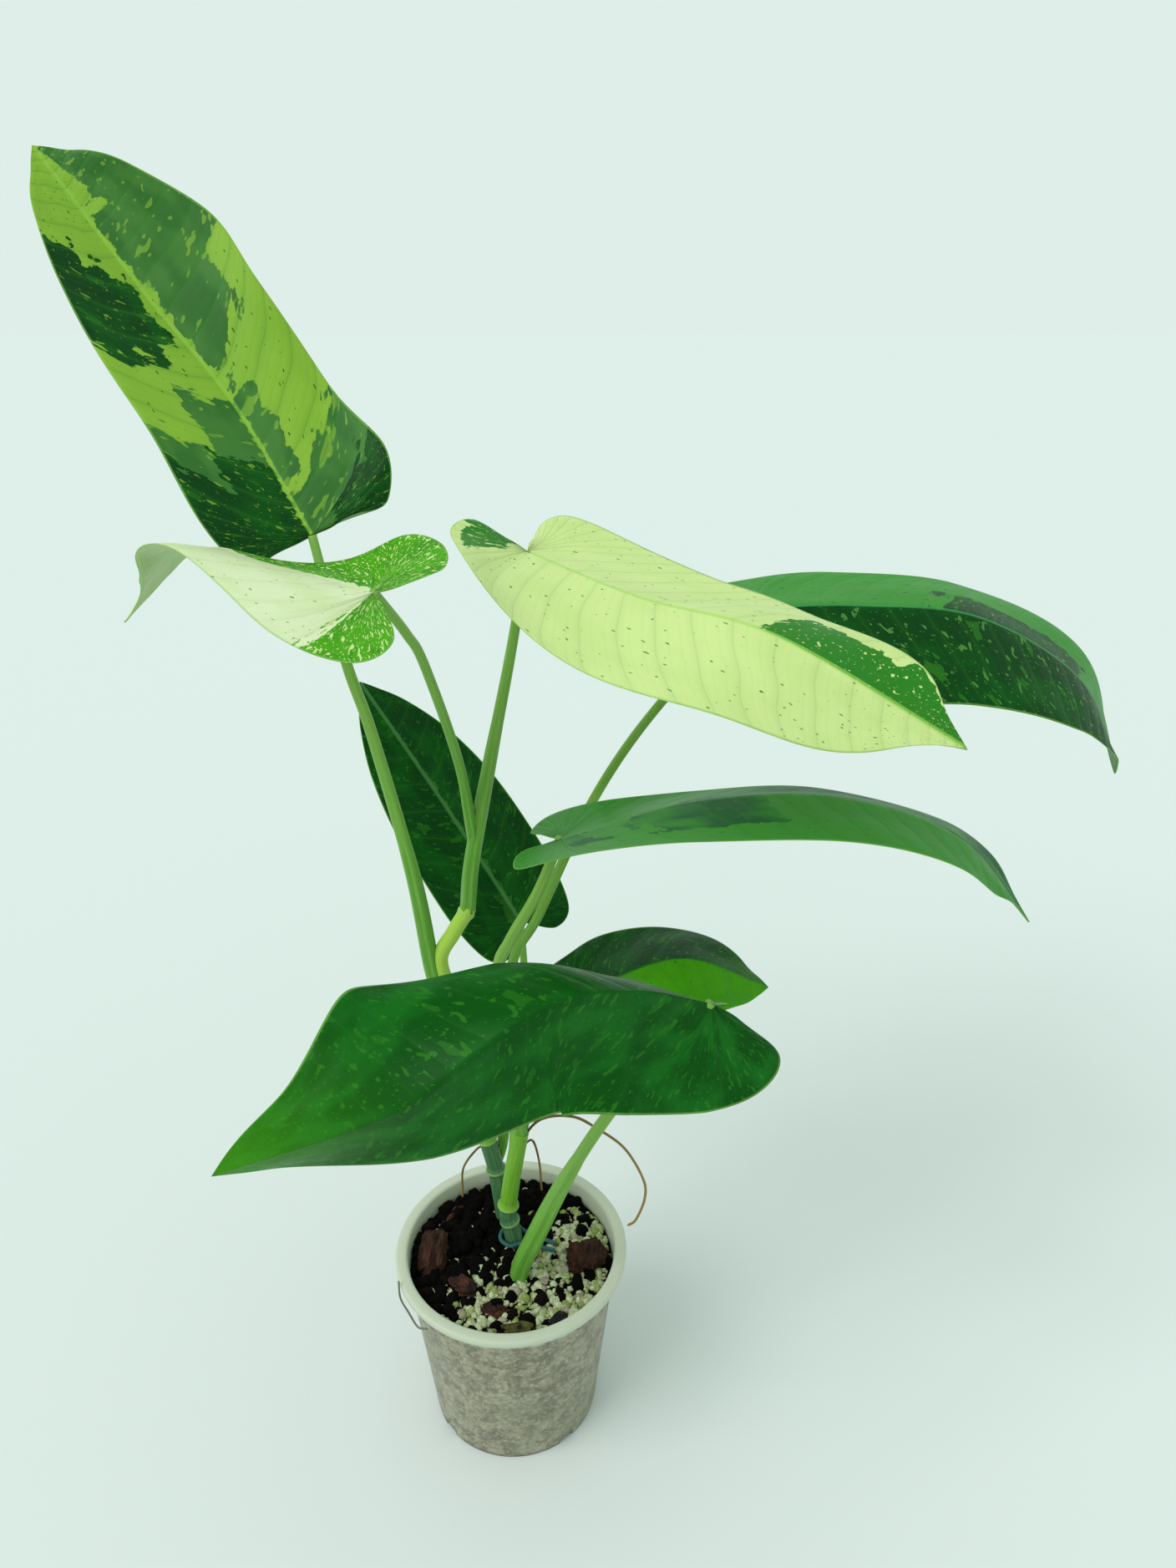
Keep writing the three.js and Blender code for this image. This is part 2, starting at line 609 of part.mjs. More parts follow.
const chunkRoom = [];
for (const [name, chunk] of Object.entries(CHUNKS)) {
  addMesh(name, chunkSolid(chunk), finish("bark", chunk.colour, 0.9));
  chunkRoom.push(chunkSolid(chunk, CLEARANCE));
}

const plantRoom = Object.values(built).map((piece) => piece.room);
addMesh("potting_mix", mixSolid([...plantRoom, ...chunkRoom]), finish("mix", 0x1e120c, 0.95));
addMesh("nursery_pot", potSolid(), finish("pot", 0xb9c6ae, 0.35));

export default group;
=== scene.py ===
"""Potted philodendron: variegated blades, petioles, canes, roots, potting mix and nursery pot."""
import math

import bmesh
import bpy
import numpy as np
from mathutils import Matrix, Vector, noise


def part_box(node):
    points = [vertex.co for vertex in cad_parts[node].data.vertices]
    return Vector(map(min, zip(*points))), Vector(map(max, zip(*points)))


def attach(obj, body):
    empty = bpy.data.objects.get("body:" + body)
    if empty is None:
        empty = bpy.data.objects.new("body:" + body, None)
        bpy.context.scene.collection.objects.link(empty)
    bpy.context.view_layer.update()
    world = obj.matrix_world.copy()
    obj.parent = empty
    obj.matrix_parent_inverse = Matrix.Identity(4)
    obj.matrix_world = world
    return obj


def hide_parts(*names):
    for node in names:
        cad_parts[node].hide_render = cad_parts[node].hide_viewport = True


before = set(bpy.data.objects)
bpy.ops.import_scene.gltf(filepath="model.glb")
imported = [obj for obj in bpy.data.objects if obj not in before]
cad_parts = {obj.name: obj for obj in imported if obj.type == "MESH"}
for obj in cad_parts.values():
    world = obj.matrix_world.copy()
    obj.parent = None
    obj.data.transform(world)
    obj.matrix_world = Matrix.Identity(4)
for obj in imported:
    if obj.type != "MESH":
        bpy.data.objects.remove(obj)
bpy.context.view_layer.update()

bl_info = {
    "name": "Potted Philodendron",
    "version": (1, 0, 0),
    "blender": (4, 5, 0),
    "location": "View3D > Sidebar > Philodendron",
    "description": "Builds a variegated philodendron in a translucent nursery pot",
    "category": "Object",
}

MM = 0.001

# The pot's and the mix's sizes, in millimetres.
POT_HEIGHT = 108
POT_MOUTH_RADIUS = 55
POT_BASE_RADIUS = 44
POT_WALL = 1.2
POT_FLOOR = 1.6
LIP_OVERHANG = 5
LIP_HEIGHT = 4
LIP_THICKNESS = 1.4
MIX_TOP = 98
LIP_RADIUS = POT_MOUTH_RADIUS + LIP_OVERHANG
WALL_TOP = POT_HEIGHT - LIP_THICKNESS
# The mix stays this far inside the wall, and pieces that only touch keep the smaller gap.
MIX_GAP = 0.6
TOUCH_GAP = 0.3
MIX_FOOT = 2.6

# The tie's and the aerial roots' thickness, as radii in millimetres.
TIE_RADIUS = 1.1
LONG_ROOT = 0.7
SHORT_ROOT = 0.6
THIN_ROOT = 0.5

# The stage, in millimetres, and the camera's tilt in degrees.
FLOOR_HALF = 6000
SENSOR_WIDTH = 36
LENS = 27.04
CAMERA_PLACE = (40, -446, 595)
CAMERA_TILT = 63.8
WINDOW_SIDE = (-0.7, -0.5, 1)

# Half of a blade's outline, from the notch at the petiole round the basal lobe to the tip:
# along the midrib in lobe lengths behind the notch and in blade lengths before it, and
# across it in half widths.
OUTLINE = [
    (-0.06, 0.02),
    (-0.45, 0.16),
    (-1, 0.46),
    (-0.6, 0.8),
    (0.09, 0.97),
    (0.27, 1),
    (0.5, 0.95),
    (0.7, 0.76),
    (0.86, 0.45),
    (0.955, 0.16),
    (1, 0),
]
# Where the basal lobe ends round the outline, and how far nearer the base than its end a side
# vein starts, for each millimetre that it runs across. Then, in millimetres, how deep the
# midrib is, how far from it a half leans over, and half of a cane ring's width.
LOBE_END = 0.3
VEIN_SWEEP = 0.8
MIDRIB_DEPTH = 1.2
LEAN_REACH = 12
RING_HALF_WIDTH = 2

# How many sides the round pieces have.
PETIOLE_SIDES = 28
CANE_SIDES = 32
CORD_SIDES = 14
POT_SIDES = 160
MIX_SIDES = 120
MIX_RINGS = 40

# What most leaves share: the names of their colours, how strong the flecks, the veins and the
# tip's tint are, how crowded the flecks are, the roughness from smooth to dull, and the
# sectors of colour. mid and deep list sectors as (half, from, to, inner, outer): from and to
# go round the outline, and inner and outer run from the midrib to the edge.
LEAF_HABIT = {
    "shade": "mid_shade",
    "dark": "deep_green",
    "dark_tone": "dark_shade",
    "fleck": "mid_shade",
    "flecked": 0.6,
    "crowded": 0.04,
    "veined": 0.12,
    "gloss": (0.36, 0.5),
    "shine": 0.12,
    "tip": 0,
    "mid": [],
    "sheath": 0.12,
}

# Each leaf, in millimetres from the middle of the mix's surface. The midrib runs from the
# petiole to the tip, and facing is the way the upper face looks along it. fold and spread
# give, round the outline, the angle in degrees and the width of the left and right halves.
# waves gives each half's margin its height and count, and rib the midrib's colour and strength.
LEAVES = {
    "top_left": {
        "midrib": [(-79, 57, 369), (-114, 88, 418), (-155, 112, 463), (-201, 134, 520)],
        "facing": [(0.3, -0.93, 0.2), (0.3, -0.94, 0.15)],
        "width": 92,
        "lobe": 3,
        "left": {"fold": [30, 20, 40, 20], "spread": [0.8, 0.92, 0.95, 1]},
        "right": {"fold": [15, 5, 0, 0], "spread": [1, 1, 1, 1, 1.04, 0.87, 0.96, 1.28, 1.4, 1.5, 1.5]},
        "petiole": [(-31, 21, 154), (-35, 24, 166), (-42, 30, 216), (-58, 42, 283), (-68, 49, 315)],
        "radius": (3.8, 2),
        "wing": 0.35,
        "waves": ((1.2, 9), (3.2, 9)),
        "light": "yellow_green",
        "shade": "yellow_shade",
        "middle": "grey_green",
        "fleck": "yellow_green",
        "flecked": 0.55,
        "veined": 0.2,
        "mid": [
            ("right", 0.69, 0.97, 0.3, 1.3), ("right", 0.63, 0.8, 0.04, 0.66),
            ("right", 0.5, 0.61, 0, 0.25), ("right", -0.1, 0.5, 0, 1.3),
            ("left", 0.45, 0.6, 0.02, 0.45), ("left", 0.3, 0.53, 0.3, 1.3),
        ],
        "deep": [
            ("left", 0.62, 0.765, 0.55, 1.3), ("left", 0.635, 0.75, 0.3, 0.8),
            ("left", 0.655, 0.735, 0.1, 0.6), ("left", -0.1, 0.49, 0.02, 1.3),
            ("left", -0.1, 0.53, 0.02, 0.5), ("right", -0.1, 0.44, 0.25, 1.3),
        ],
        "rib": ("#8FC246", 0.5),
    },
    "lime_front": {
        "midrib": [(14, 50, 364), (60, -5, 361), (109, -40, 357), (176, -62, 322)],
        "facing": [(0, -0.3, 0.95), (0.05, -0.36, 0.93), (0.2, -0.4, 0.9)],
        "width": 90,
        "lobe": 15,
        "left": {"fold": [5, -3, -18, 60], "spread": [1, 1, 1, 1, 1, 1, 1, 1, 1, 0.7, 0.6]},
        "right": {"fold": [60, 30, -25, -40], "spread": [1, 1, 1, 1, 1, 1, 1, 1, 1, 0.6, 0.4]},
        "petiole": [(-17, 28, 197), (-14, 30, 223), (-5, 37, 268), (6, 45, 320)],
        "radius": (3.7, 1.9),
        "wing": 0.55,
        "waves": ((2.2, 7), (1.6, 9)),
        "light": "lime",
        "shade": "lime_shade",
        "middle": "leaf_green",
        "dark": "leaf_green",
        "dark_tone": "mid_green",
        "fleck": "lime",
        "flecked": 0.9,
        "veined": 0.09,
        "mid": [("right", -0.1, 0.36, 0.25, 0.85)],
        "deep": [
            ("left", 0.7, 1.1, -0.3, 0.7), ("left", 0.8, 1.1, -0.3, 0.95),
            ("left", 0.88, 1.1, -0.3, 1.4), ("right", -0.1, 0.24, 0.3, 1.3),
        ],
        "rib": ("#9CCB5A", 0.6),
    },
    "cream_left": {
        "midrib": [(-39, -26, 369), (-81, 3, 371), (-119, 21, 374), (-137, 24, 362), (-151, 18, 343)],
        "facing": [(0.1, -0.45, 0.9), (0, -0.35, 0.9), (-0.6, -0.5, 0.6)],
        "width": 80,
        "lobe": 24,
        "left": {"fold": [0, -10, 40, 10], "spread": [1, 0.95, 0.85, 1]},
        "right": {"fold": [30, 15, -45, -35], "spread": [0.85, 0.85, 0.5, 1]},
        "petiole": [(-13, 31, 232), (-17, 26, 274), (-26, 3, 329), (-31, -8, 347)],
        "radius": (2.4, 1.9),
        "wing": 0.2,
        "waves": ((1, 7), (1, 7)),
        "light": "cream",
        "shade": "lime_shade",
        "middle": "fresh_green",
        "dark": "fresh_green",
        "dark_tone": "spring_green",
        "fleck": "lime",
        "flecked": 0.9,
        "crowded": 0.09,
        "veined": 0.05,
        "deep": [
            ("left", -0.1, 0.38, -0.1, 1.3),
            ("right", -0.1, 0.66, 0.08, 1.3),
            ("right", -0.1, 0.3, -0.1, 1.3),
        ],
        "rib": ("#CFE6A6", 0.4),
    },
    "dark_right": {
        "midrib": [(116, 70, 333), (165, 80, 331), (225, 85, 323), (285, 98, 285), (314, 105, 232)],
        "facing": [(0, -0.5, 0.85), (0, -0.5, 0.85), (0.6, -0.5, 0.6)],
        "width": 94,
        "lobe": 17,
        "left": {"fold": [-10, -30, -20, 0], "spread": [1, 1, 1, 1.6]},
        "right": {"fold": [-25, -35, -5, 45], "spread": [1, 1]},
        "petiole": [(-9, 27, 38), (-4, 32, 62), (1, 38, 152), (16, 42, 186), (44, 53, 246), (75, 63, 290)],
        "radius": (2.8, 2),
        "wing": 0.3,
        "waves": ((2, 7), (1.5, 8)),
        "light": "far_green",
        "shade": "mid_green",
        "middle": "mid_green",
        "flecked": 0.9,
        "crowded": 0.05,
        "gloss": (0.34, 0.46),
        "deep": [("right", -0.1, 1.1, -0.1, 1.3), ("left", 0.6, 0.76, -0.2, 0.42)],
        "rib": ("#3E8A4A", 0.7),
    },
    "mid_right": {
        "midrib": [(28, 10, 246), (85, 5, 267), (145, 2, 271), (200, 0, 252), (237, -2, 210)],
        "facing": [(0, -0.05, 1), (0, -0.1, 1), (0.3, -0.45, 0.85)],
        "width": 80,
        "lobe": 18,
        "left": {"fold": [0, -10, -30, 0], "spread": [1, 1, 1, 1, 1, 1, 1, 1, 0.9, 0.45, 0.4]},
        "right": {"fold": [25, 15, 5, 40], "spread": [1, 1, 1, 1, 1, 1, 1, 1, 0.9, 0.45, 0.4]},
        "petiole": [(6, 9, 74), (2, 10, 130), (-2, 12, 173), (4, 12, 191), (17, 11, 217)],
        "radius": (3.7, 2.3),
        "wing": 0.4,
        "waves": ((1.5, 8), (2, 7)),
        "light": "middle_green",
        "middle": "middle_green",
        "dark": "dark_grey",
        "dark_tone": "middle_green",
        "flecked": 0.5,
        "crowded": 0.03,
        "veined": 0.2,
        "deep": [
            ("left", 0.55, 1.1, -0.1, 1.3),
            ("right", 0.5, 0.6, -0.2, 0.62),
            ("right", 0.42, 0.46, 0, 0.4),
        ],
        "rib": ("#5C9A50", 0.4),
    },
    "dark_back": {
        "midrib": [(5, 70, 164), (-36, 98, 220), (-77, 118, 278)],
        "facing": [(0.25, -0.9, 0.3)],
        "width": 62,
        "lobe": 13,
        "left": {"fold": [8, 8, 12, 8], "spread": [1, 1]},
        "right": {"fold": [10, 8, 8, 8], "spread": [1, 1]},
        "petiole": [(1, 9, 50), (5, 35, 105), (7, 56, 138)],
        "radius": (2.4, 1.8),
        "wing": 0.3,
        "waves": ((1.2, 8), (1.2, 8)),
        "light": "back_green",
        "middle": "back_green",
        "fleck": "mid_green",
        "crowded": 0.03,
        "deep": [
            ("left", -0.1, 1.1, 0.12, 1.3),
            ("right", -0.1, 1.1, 0.05, 1.3),
            ("left", 0.5, 1.1, -0.2, 1.3),
        ],
        "rib": ("#4E8B4A", 0.6),
    },
    "low_front": {
        "midrib": [(92, -40, 194), (59, -62, 216), (20, -88, 226), (-30, -113, 200), (-97, -125, 180)],
        "facing": [(0.1, -0.75, 0.65), (-0.05, -0.8, 0.6), (-0.15, -0.9, 0.4)],
        "width": 98,
        "lobe": 34,
        "left": {"fold": [42, 5, -50, -60], "spread": [0.85, 1, 1, 1]},
        "right": {
            "fold": [-70, -80, -85, -42, 5, 0],
            "spread": [1, 0.95, 0.9, 0.72, 0.55, 0.6, 1, 1.34, 0.92, 1, 1],
        },
        "petiole": [
            (2, -13, -22), (5, -13, 5), (13, -15, 30), (28, -20, 72), (47, -28, 118),
            (71, -36, 164),
        ],
        "radius": (4, 2.2),
        "wing": 0.5,
        "sheath": 0.4,
        "waves": ((2.4, 8), (2.4, 6)),
        "light": "mid_green",
        "middle": "mid_green",
        "dark": "front_green",
        "dark_tone": "front_shade",
        "fleck": "mid_green",
        "crowded": 0.06,
        "veined": 0.06,
        "gloss": (0.3, 0.42),
        "shine": 0.1,
        "tip": 0.6,
        "deep": [("left", -0.1, 1.1, -0.2, 1.3), ("right", -0.1, 1.1, -0.2, 1.3)],
        "rib": ("#1A5A1C", 0.2),
    },
    "small_right": {
        "midrib": [(34, 20, 155), (85, 31, 168), (130, 36, 147)],
        "facing": [(0, -0.1, 1), (0, -0.1, 1), (0.4, -0.1, 0.9)],
        "width": 72,
        "lobe": 10,
        "left": {"fold": [-5, -5, -10, 0], "spread": [1, 1]},
        "right": {"fold": [-30, -30, -25, -25], "spread": [1, 1]},
        "petiole": [(5, 10, 68), (18, 16, 122)],
        "radius": (2.2, 1.7),
        "wing": 0.3,
        "waves": ((1.6, 7), (1.6, 7)),
        "light": "fresh_green",
        "shade": "mid_green",
        "middle": "mid_green",
        "gloss": (0.34, 0.46),
        "tip": 0.4,
        "deep": [("left", -0.1, 1.1, -0.1, 1.3)],
        "rib": ("#2F7A2A", 0.4),
    },
}
LEAVES = {key: {**LEAF_HABIT, **own} for key, own in LEAVES.items()}

# Canes: route from the middle of the mix's surface, foot and head radius, and the scars of
# fallen leaves as (share of the length, how far the ring stands out).
CANES = {
    "cane_back": {
        "route": [(-5, 27, -22), (-6, 27, 5), (-9, 26, 37), (-13, 25, 60), (-21, 23, 110), (-29, 22, 160)],
        "radius": (4.6, 4.4),
        "rings": [(0.32, 1.1), (0.44, 0.8)],
    },
    "cane_front": {
        "route": [(2, 9, -22), (1, 9, 0), (-1, 9, 16), (-2, 9, 24), (1, 9, 48), (6, 9, 78)],
        "radius": (4.8, 4.3),
        "rings": [(0.39, 0.9), (0.5, 1.3)],
    },
    "shoot_upper": {
        "route": [(-28, 23, 155), (-31, 25, 172), (-24, 26, 186), (-16, 28, 199)],
        "radius": (3.8, 3.7),
        "rings": [(0.93, 0.7)],
    },
}


# ---------------------------------------------------------------- colours and nodes


def linear(hex_colour):
    """An sRGB hex colour as linear numbers, with a full alpha."""
    parts = [int(hex_colour[i : i + 2], 16) / 255 for i in (1, 3, 5)]
    return (*[c / 12.92 if c <= 0.04045 else ((c + 0.055) / 1.055) ** 2.4 for c in parts], 1.0)


def add_node(tree, kind, inputs=None, out=0, **settings):
    """Adds a node with its settings, fills its inputs with values or with other nodes' outputs,
    and gives back one of its outputs."""
    node = tree.nodes.new(kind)
    for name, value in settings.items():
        setattr(node, name, value)
    for name, value in (inputs or {}).items():
        if isinstance(value, bpy.types.NodeSocket):
            tree.links.new(value, node.inputs[name])
        else:
            node.inputs[name].default_value = value
    return node.outputs[out] if node.outputs else None


def new_material(name):
    """An empty node material."""
    material = bpy.data.materials.new(name)
    material.use_nodes = True
    material.node_tree.nodes.clear()
    return material, material.node_tree


def paint_over(tree, colour, layers):
    """Lays colours over a colour. A layer is (pattern, none, full, most, colour): it is absent
    where the pattern's value is none, and its share is most where the value is full."""
    for pattern, none, full, most, top in layers:
        share = add_node(
            tree,
            "ShaderNodeMapRange",
            {"Value": pattern, "From Min": none, "From Max": full, "To Max": most},
            interpolation_type="SMOOTHSTEP",
        )
        colour = add_node(tree, "ShaderNodeMix", {0: share, 6: colour, 7: top}, 2, data_type="RGBA")
    return colour


def finish_surface(tree, colour, height, relief, roughness, **skin):
    """A bumped skin over a colour: relief is the bump's depth in millimetres."""
    bump = add_node(tree, "ShaderNodeBump", {"Distance": relief * MM, "Height": height})
    inputs = {"Base Color": colour, "Normal": bump, "Roughness": roughness}
    inputs.update({name.replace("_", " "): value for name, value in skin.items()})
    shader = add_node(tree, "ShaderNodeBsdfPrincipled", inputs)
    add_node(tree, "ShaderNodeOutputMaterial", {"Surface": shader})


# ---------------------------------------------------------------- curves


def catmull(points, t, stretched):
    """Points on the even Catmull-Rom curve through points, at shares t of its parameter."""
    points = np.atleast_2d(np.asarray(points, float))
    count = len(points)
    if count == 1:
        return np.repeat(points, len(t), 0)
    first = 2 * points[0] - points[1] if stretched else points[0]
    last = 2 * points[-1] - points[-2] if stretched else points[-1]
    padded = np.vstack([first, points, last])
    place = np.clip(t, 0, 1) * (count - 1)
    k = np.minimum(place.astype(int), count - 2)
    w = (place - k)[:, None]
    p0, p1, p2, p3 = padded[k], padded[k + 1], padded[k + 2], padded[k + 3]
    v0 = (p2 - p0) / 2
    v1 = (p3 - p1) / 2
    return (2 * p1 - 2 * p2 + v0 + v1) * w**3 + (-3 * p1 + 3 * p2 - 2 * v0 - v1) * w**2 + v0 * w + p1


def spread_value(values, t):
    """The value at shares t of an evenly spaced list."""
    column = np.asarray(values, float)[:, None]
    return catmull(column, np.clip(t, 0, 1), False)[:, 0]


class Route:
    """A smooth curve through points, measured by length."""

    def __init__(self, points, steps=1200):
        self.fine = catmull(points, np.linspace(0, 1, steps), True)
        gaps = np.linalg.norm(np.diff(self.fine, axis=0), axis=1)
        self.run = np.concatenate([[0], np.cumsum(gaps)])
        self.length = self.run[-1]
        way = np.gradient(self.fine, self.run, axis=0)
        self.way = way / np.linalg.norm(way, axis=1)[:, None]

    def at(self, share):
        run = np.clip(share, 0, 1) * self.length
        return np.stack([np.interp(run, self.run, self.fine[:, k]) for k in range(3)], -1)

    def tangent(self, share):
        run = np.clip(share, 0, 1) * self.length
        way = np.stack([np.interp(run, self.run, self.way[:, k]) for k in range(3)], -1)
        return way / np.linalg.norm(way, axis=-1)[..., None]


def smooth(x, low, high):
    """0 below low, 1 above high and an even S between them."""
    s = np.clip((x - low) / (high - low), 0, 1)
    return s * s * (3 - 2 * s)


def polar(bearing, radius, z):
    return (radius * math.cos(math.radians(bearing)), radius * math.sin(math.radians(bearing)), z)


def add_up(points):
    """Points measured from the mix's surface, measured from the floor."""
    return [(x, y, z + MIX_TOP) for x, y, z in points]


def wall_radius(z):
    """The pot's outer radius at a height."""
    return POT_BASE_RADIUS + (POT_MOUTH_RADIUS - POT_BASE_RADIUS) * z / WALL_TOP


def mix_radius(z):
    """The potting mix's radius at a height."""
    return wall_radius(z) - POT_WALL - MIX_GAP


# ---------------------------------------------------------------- meshes


def show_piece(name, mesh, material):
    """A smooth piece that rides on the body and stands for the CAD node of its name."""
    mesh.polygons.foreach_set("use_smooth", [True] * len(mesh.polygons))
    mesh.materials.append(material)
    piece = bpy.data.objects.new(name, mesh)
    bpy.context.scene.collection.objects.link(piece)
    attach(piece, "root")
    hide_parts(name)
    return piece


def make_piece(name, points, faces, material):
    """A piece from points in millimetres."""
    mesh = bpy.data.meshes.new(name)
    mesh.from_pydata((np.asarray(points) * MM).tolist(), [], [list(map(int, f)) for f in faces])
    mesh.validate()
    return show_piece(name, mesh, material)


def paint(piece, name, values):
    """Writes a number or a vector for each vertex."""
    values = np.asarray(values, np.float32)
    kind = "FLOAT" if values.ndim == 1 else "FLOAT_VECTOR"
    layer = piece.data.attributes.new(name, kind, "POINT")
    layer.data.foreach_set("value" if values.ndim == 1 else "vector", values.ravel())


def grid_faces(rows, columns, closed=False, start=0):
    """Quads of a grid of points stored row by row. closed joins the last column to the first."""
    faces = []
    wide = columns if closed else columns - 1
    for r in range(rows - 1):
        for c in range(wide):
            d = (c + 1) % columns
            near = start + r * columns
            far = near + columns
            faces.append((near + c, near + d, far + d, far + c))
    return faces


# ---------------------------------------------------------------- blades


# Grid lines along a half blade's outline and from its midrib to its edge.
BLADE_ALONG = 150
BLADE_ACROSS = 26
# How soft a sector's edge is round the outline and from midrib to edge, and the teeth on it:
# how many along and across, and how deep.
SECTOR_FADE = (0.06, 0.2)
EDGE_TEETH = (60, 3.2)
EDGE_RAGGED = 1.5


def blade_points(leaf, u, v, side, under, thickness):
    """Points of a blade's upper or under face. u runs round the outline, v from midrib to edge."""
    # A line of constant u is a side vein: it leaves the midrib nearer the base than its end,
    # and bends outwards on its way.
    route = leaf["route"]
    length = route.length
    lobe, half_width = leaf["lobe"], leaf["width"] / 2
    shape = np.array([(x * (lobe if x < 0 else length), y * half_width) for x, y in OUTLINE])
    edge = catmull(shape, u, False)
    settle = smooth(u, 0.6, 1)
    sweep = VEIN_SWEEP * (1 - 0.6 * settle)
    foot = np.where(u < LOBE_END, 0, np.maximum(edge[:, 0] - sweep * edge[:, 1], 0))
    knee_along = foot + 0.3 * (edge[:, 0] - foot)
    knee_out = 0.6 * edge[:, 1]
    distance = (1 - v) ** 2 * foot + 2 * v * (1 - v) * knee_along + v**2 * edge[:, 0]
    out = 2 * v * (1 - v) * knee_out + v**2 * edge[:, 1]
    share = np.clip(distance / length, 0, 1)
    along = route.tangent(share)
    facing = np.stack([spread_value([f[k] for f in leaf["facing"]], share) for k in range(3)], -1)
    facing -= (facing * along).sum(-1)[:, None] * along
    facing /= np.linalg.norm(facing, axis=-1)[:, None]
    across = np.cross(facing, along)
    origin = route.at(share) + along * np.minimum(distance, 0)[:, None]
    half = leaf["left"] if side > 0 else leaf["right"]
    tilt = np.radians(spread_value(half["fold"], u))
    reach = out * spread_value(half["spread"], u)
    taper = np.sin(math.pi * np.sqrt(share))
    if under:
        rib = MIDRIB_DEPTH * taper * np.exp(-((reach / 1.6) ** 2))
        depth = thickness * (1 - 0.75 * smooth(v, 0.93, 1)) + rib
    else:
        # The upper face sinks along the midrib.
        depth = 0.35 * taper * np.exp(-((reach / 1.2) ** 2))
    # The margin waves, as a soft blade's does.
    height, count = leaf["waves"][0 if side > 0 else 1]
    swing = np.sin(count * u * math.pi + lobe)
    wave = height * smooth(v, 0.3, 1) * smooth(reach, 4, 16) * swing
    lean = tilt * smooth(reach, 0, LEAN_REACH)
    rise = reach * np.sin(tilt) - depth * np.cos(lean) + wave
    sideways = side * (reach * np.cos(tilt) + depth * np.sin(lean))
    points = origin + across * sideways[:, None] + facing * rise[:, None]
    return points + (0, 0, MIX_TOP), distance, side * reach


def sector(u, v, low, high, inner, outer):
    """How far inside a sector of colour a point lies: 1 well inside and below 0 outside."""
    around = np.minimum(u - low, high - u) / SECTOR_FADE[0]
    outward = np.minimum(v - inner, outer - v) / SECTOR_FADE[1]
    return np.minimum(around, outward)


def make_blade(key, leaf, settings):
    """One blade: upper and under faces on one grid from margin to margin, closed at the edge."""
    leaf["route"] = Route(leaf["midrib"])
    lines = np.linspace(0, 1, BLADE_ALONG) ** 0.97
    steps = np.linspace(0, 1, BLADE_ACROSS) ** 1.15
    spans = [(-1, steps[::-1]), (1, steps[1:])]
    thickness = settings.blade_thickness / MM
    sheets = []
    for under in (False, True):
        columns = []
        for side, row in spans:
            u = np.repeat(lines, len(row))
            v = np.tile(row, len(lines))
            points, distance, out = blade_points(leaf, u, v, side, under, thickness)
            extra = np.column_stack([u, v * side, distance, out])
            shape = (len(lines), len(row), -1)
            columns.append((points.reshape(shape), extra.reshape(shape)))
        sheets.append([np.concatenate([c[k] for c in columns], 1) for k in (0, 1)])
    rows, wide = sheets[0][0].shape[:2]
    points = np.concatenate([sheet[0].reshape(-1, 3) for sheet in sheets])
    extra = np.concatenate([sheet[1].reshape(-1, 4) for sheet in sheets])
    upper = grid_faces(rows, wide)
    count = rows * wide
    faces = [f[::-1] for f in upper]
    faces += [tuple(i + count for i in f) for f in upper]
    rim = [r * wide for r in range(rows)]
    rim += [(rows - 1) * wide + c for c in range(1, wide)]
    rim += [r * wide + wide - 1 for r in range(rows - 2, -1, -1)]
    rim += range(wide - 2, 0, -1)
    for a, b in zip(rim, rim[1:] + rim[:1]):
        faces.append((a, b, b + count, a + count))
    piece = make_piece("leaf_" + key, points, faces, blade_material(key, leaf, settings))
    u, v, side = extra[:, 0], np.abs(extra[:, 1]), np.where(extra[:, 1] < 0, "right", "left")
    under = np.arange(len(points)) >= count
    fields = {}
    for name in ("mid", "deep"):
        best = np.full(len(points), -1.0)
        for half, low, high, inner, outer in leaf[name]:
            inside = np.where(side == half, sector(u, v, low, high, inner, outer), -1)
            best = np.maximum(best, inside)
        fields[name] = np.clip(best, -1, 1)
    # The vein's own axes, the place on the blade laid flat in millimetres, and the sectors.
    paint(piece, "vein", np.column_stack([u, extra[:, 1], np.zeros(len(u))]))
    paint(piece, "flat", np.column_stack([extra[:, 2], extra[:, 3], under * 1.0]))
    paint(piece, "patch", np.column_stack([fields["mid"], fields["deep"], under * 1.0]))
    tidy_mesh(piece)


def tidy_mesh(piece, merge=True):
    """Merges doubled points and turns the faces outwards."""
    work = bmesh.new()
    work.from_mesh(piece.data)
    if merge:
        bmesh.ops.remove_doubles(work, verts=work.verts, dist=0.01 * MM)
    bmesh.ops.recalc_face_normals(work, faces=work.faces)
    work.to_mesh(piece.data)
    work.free()


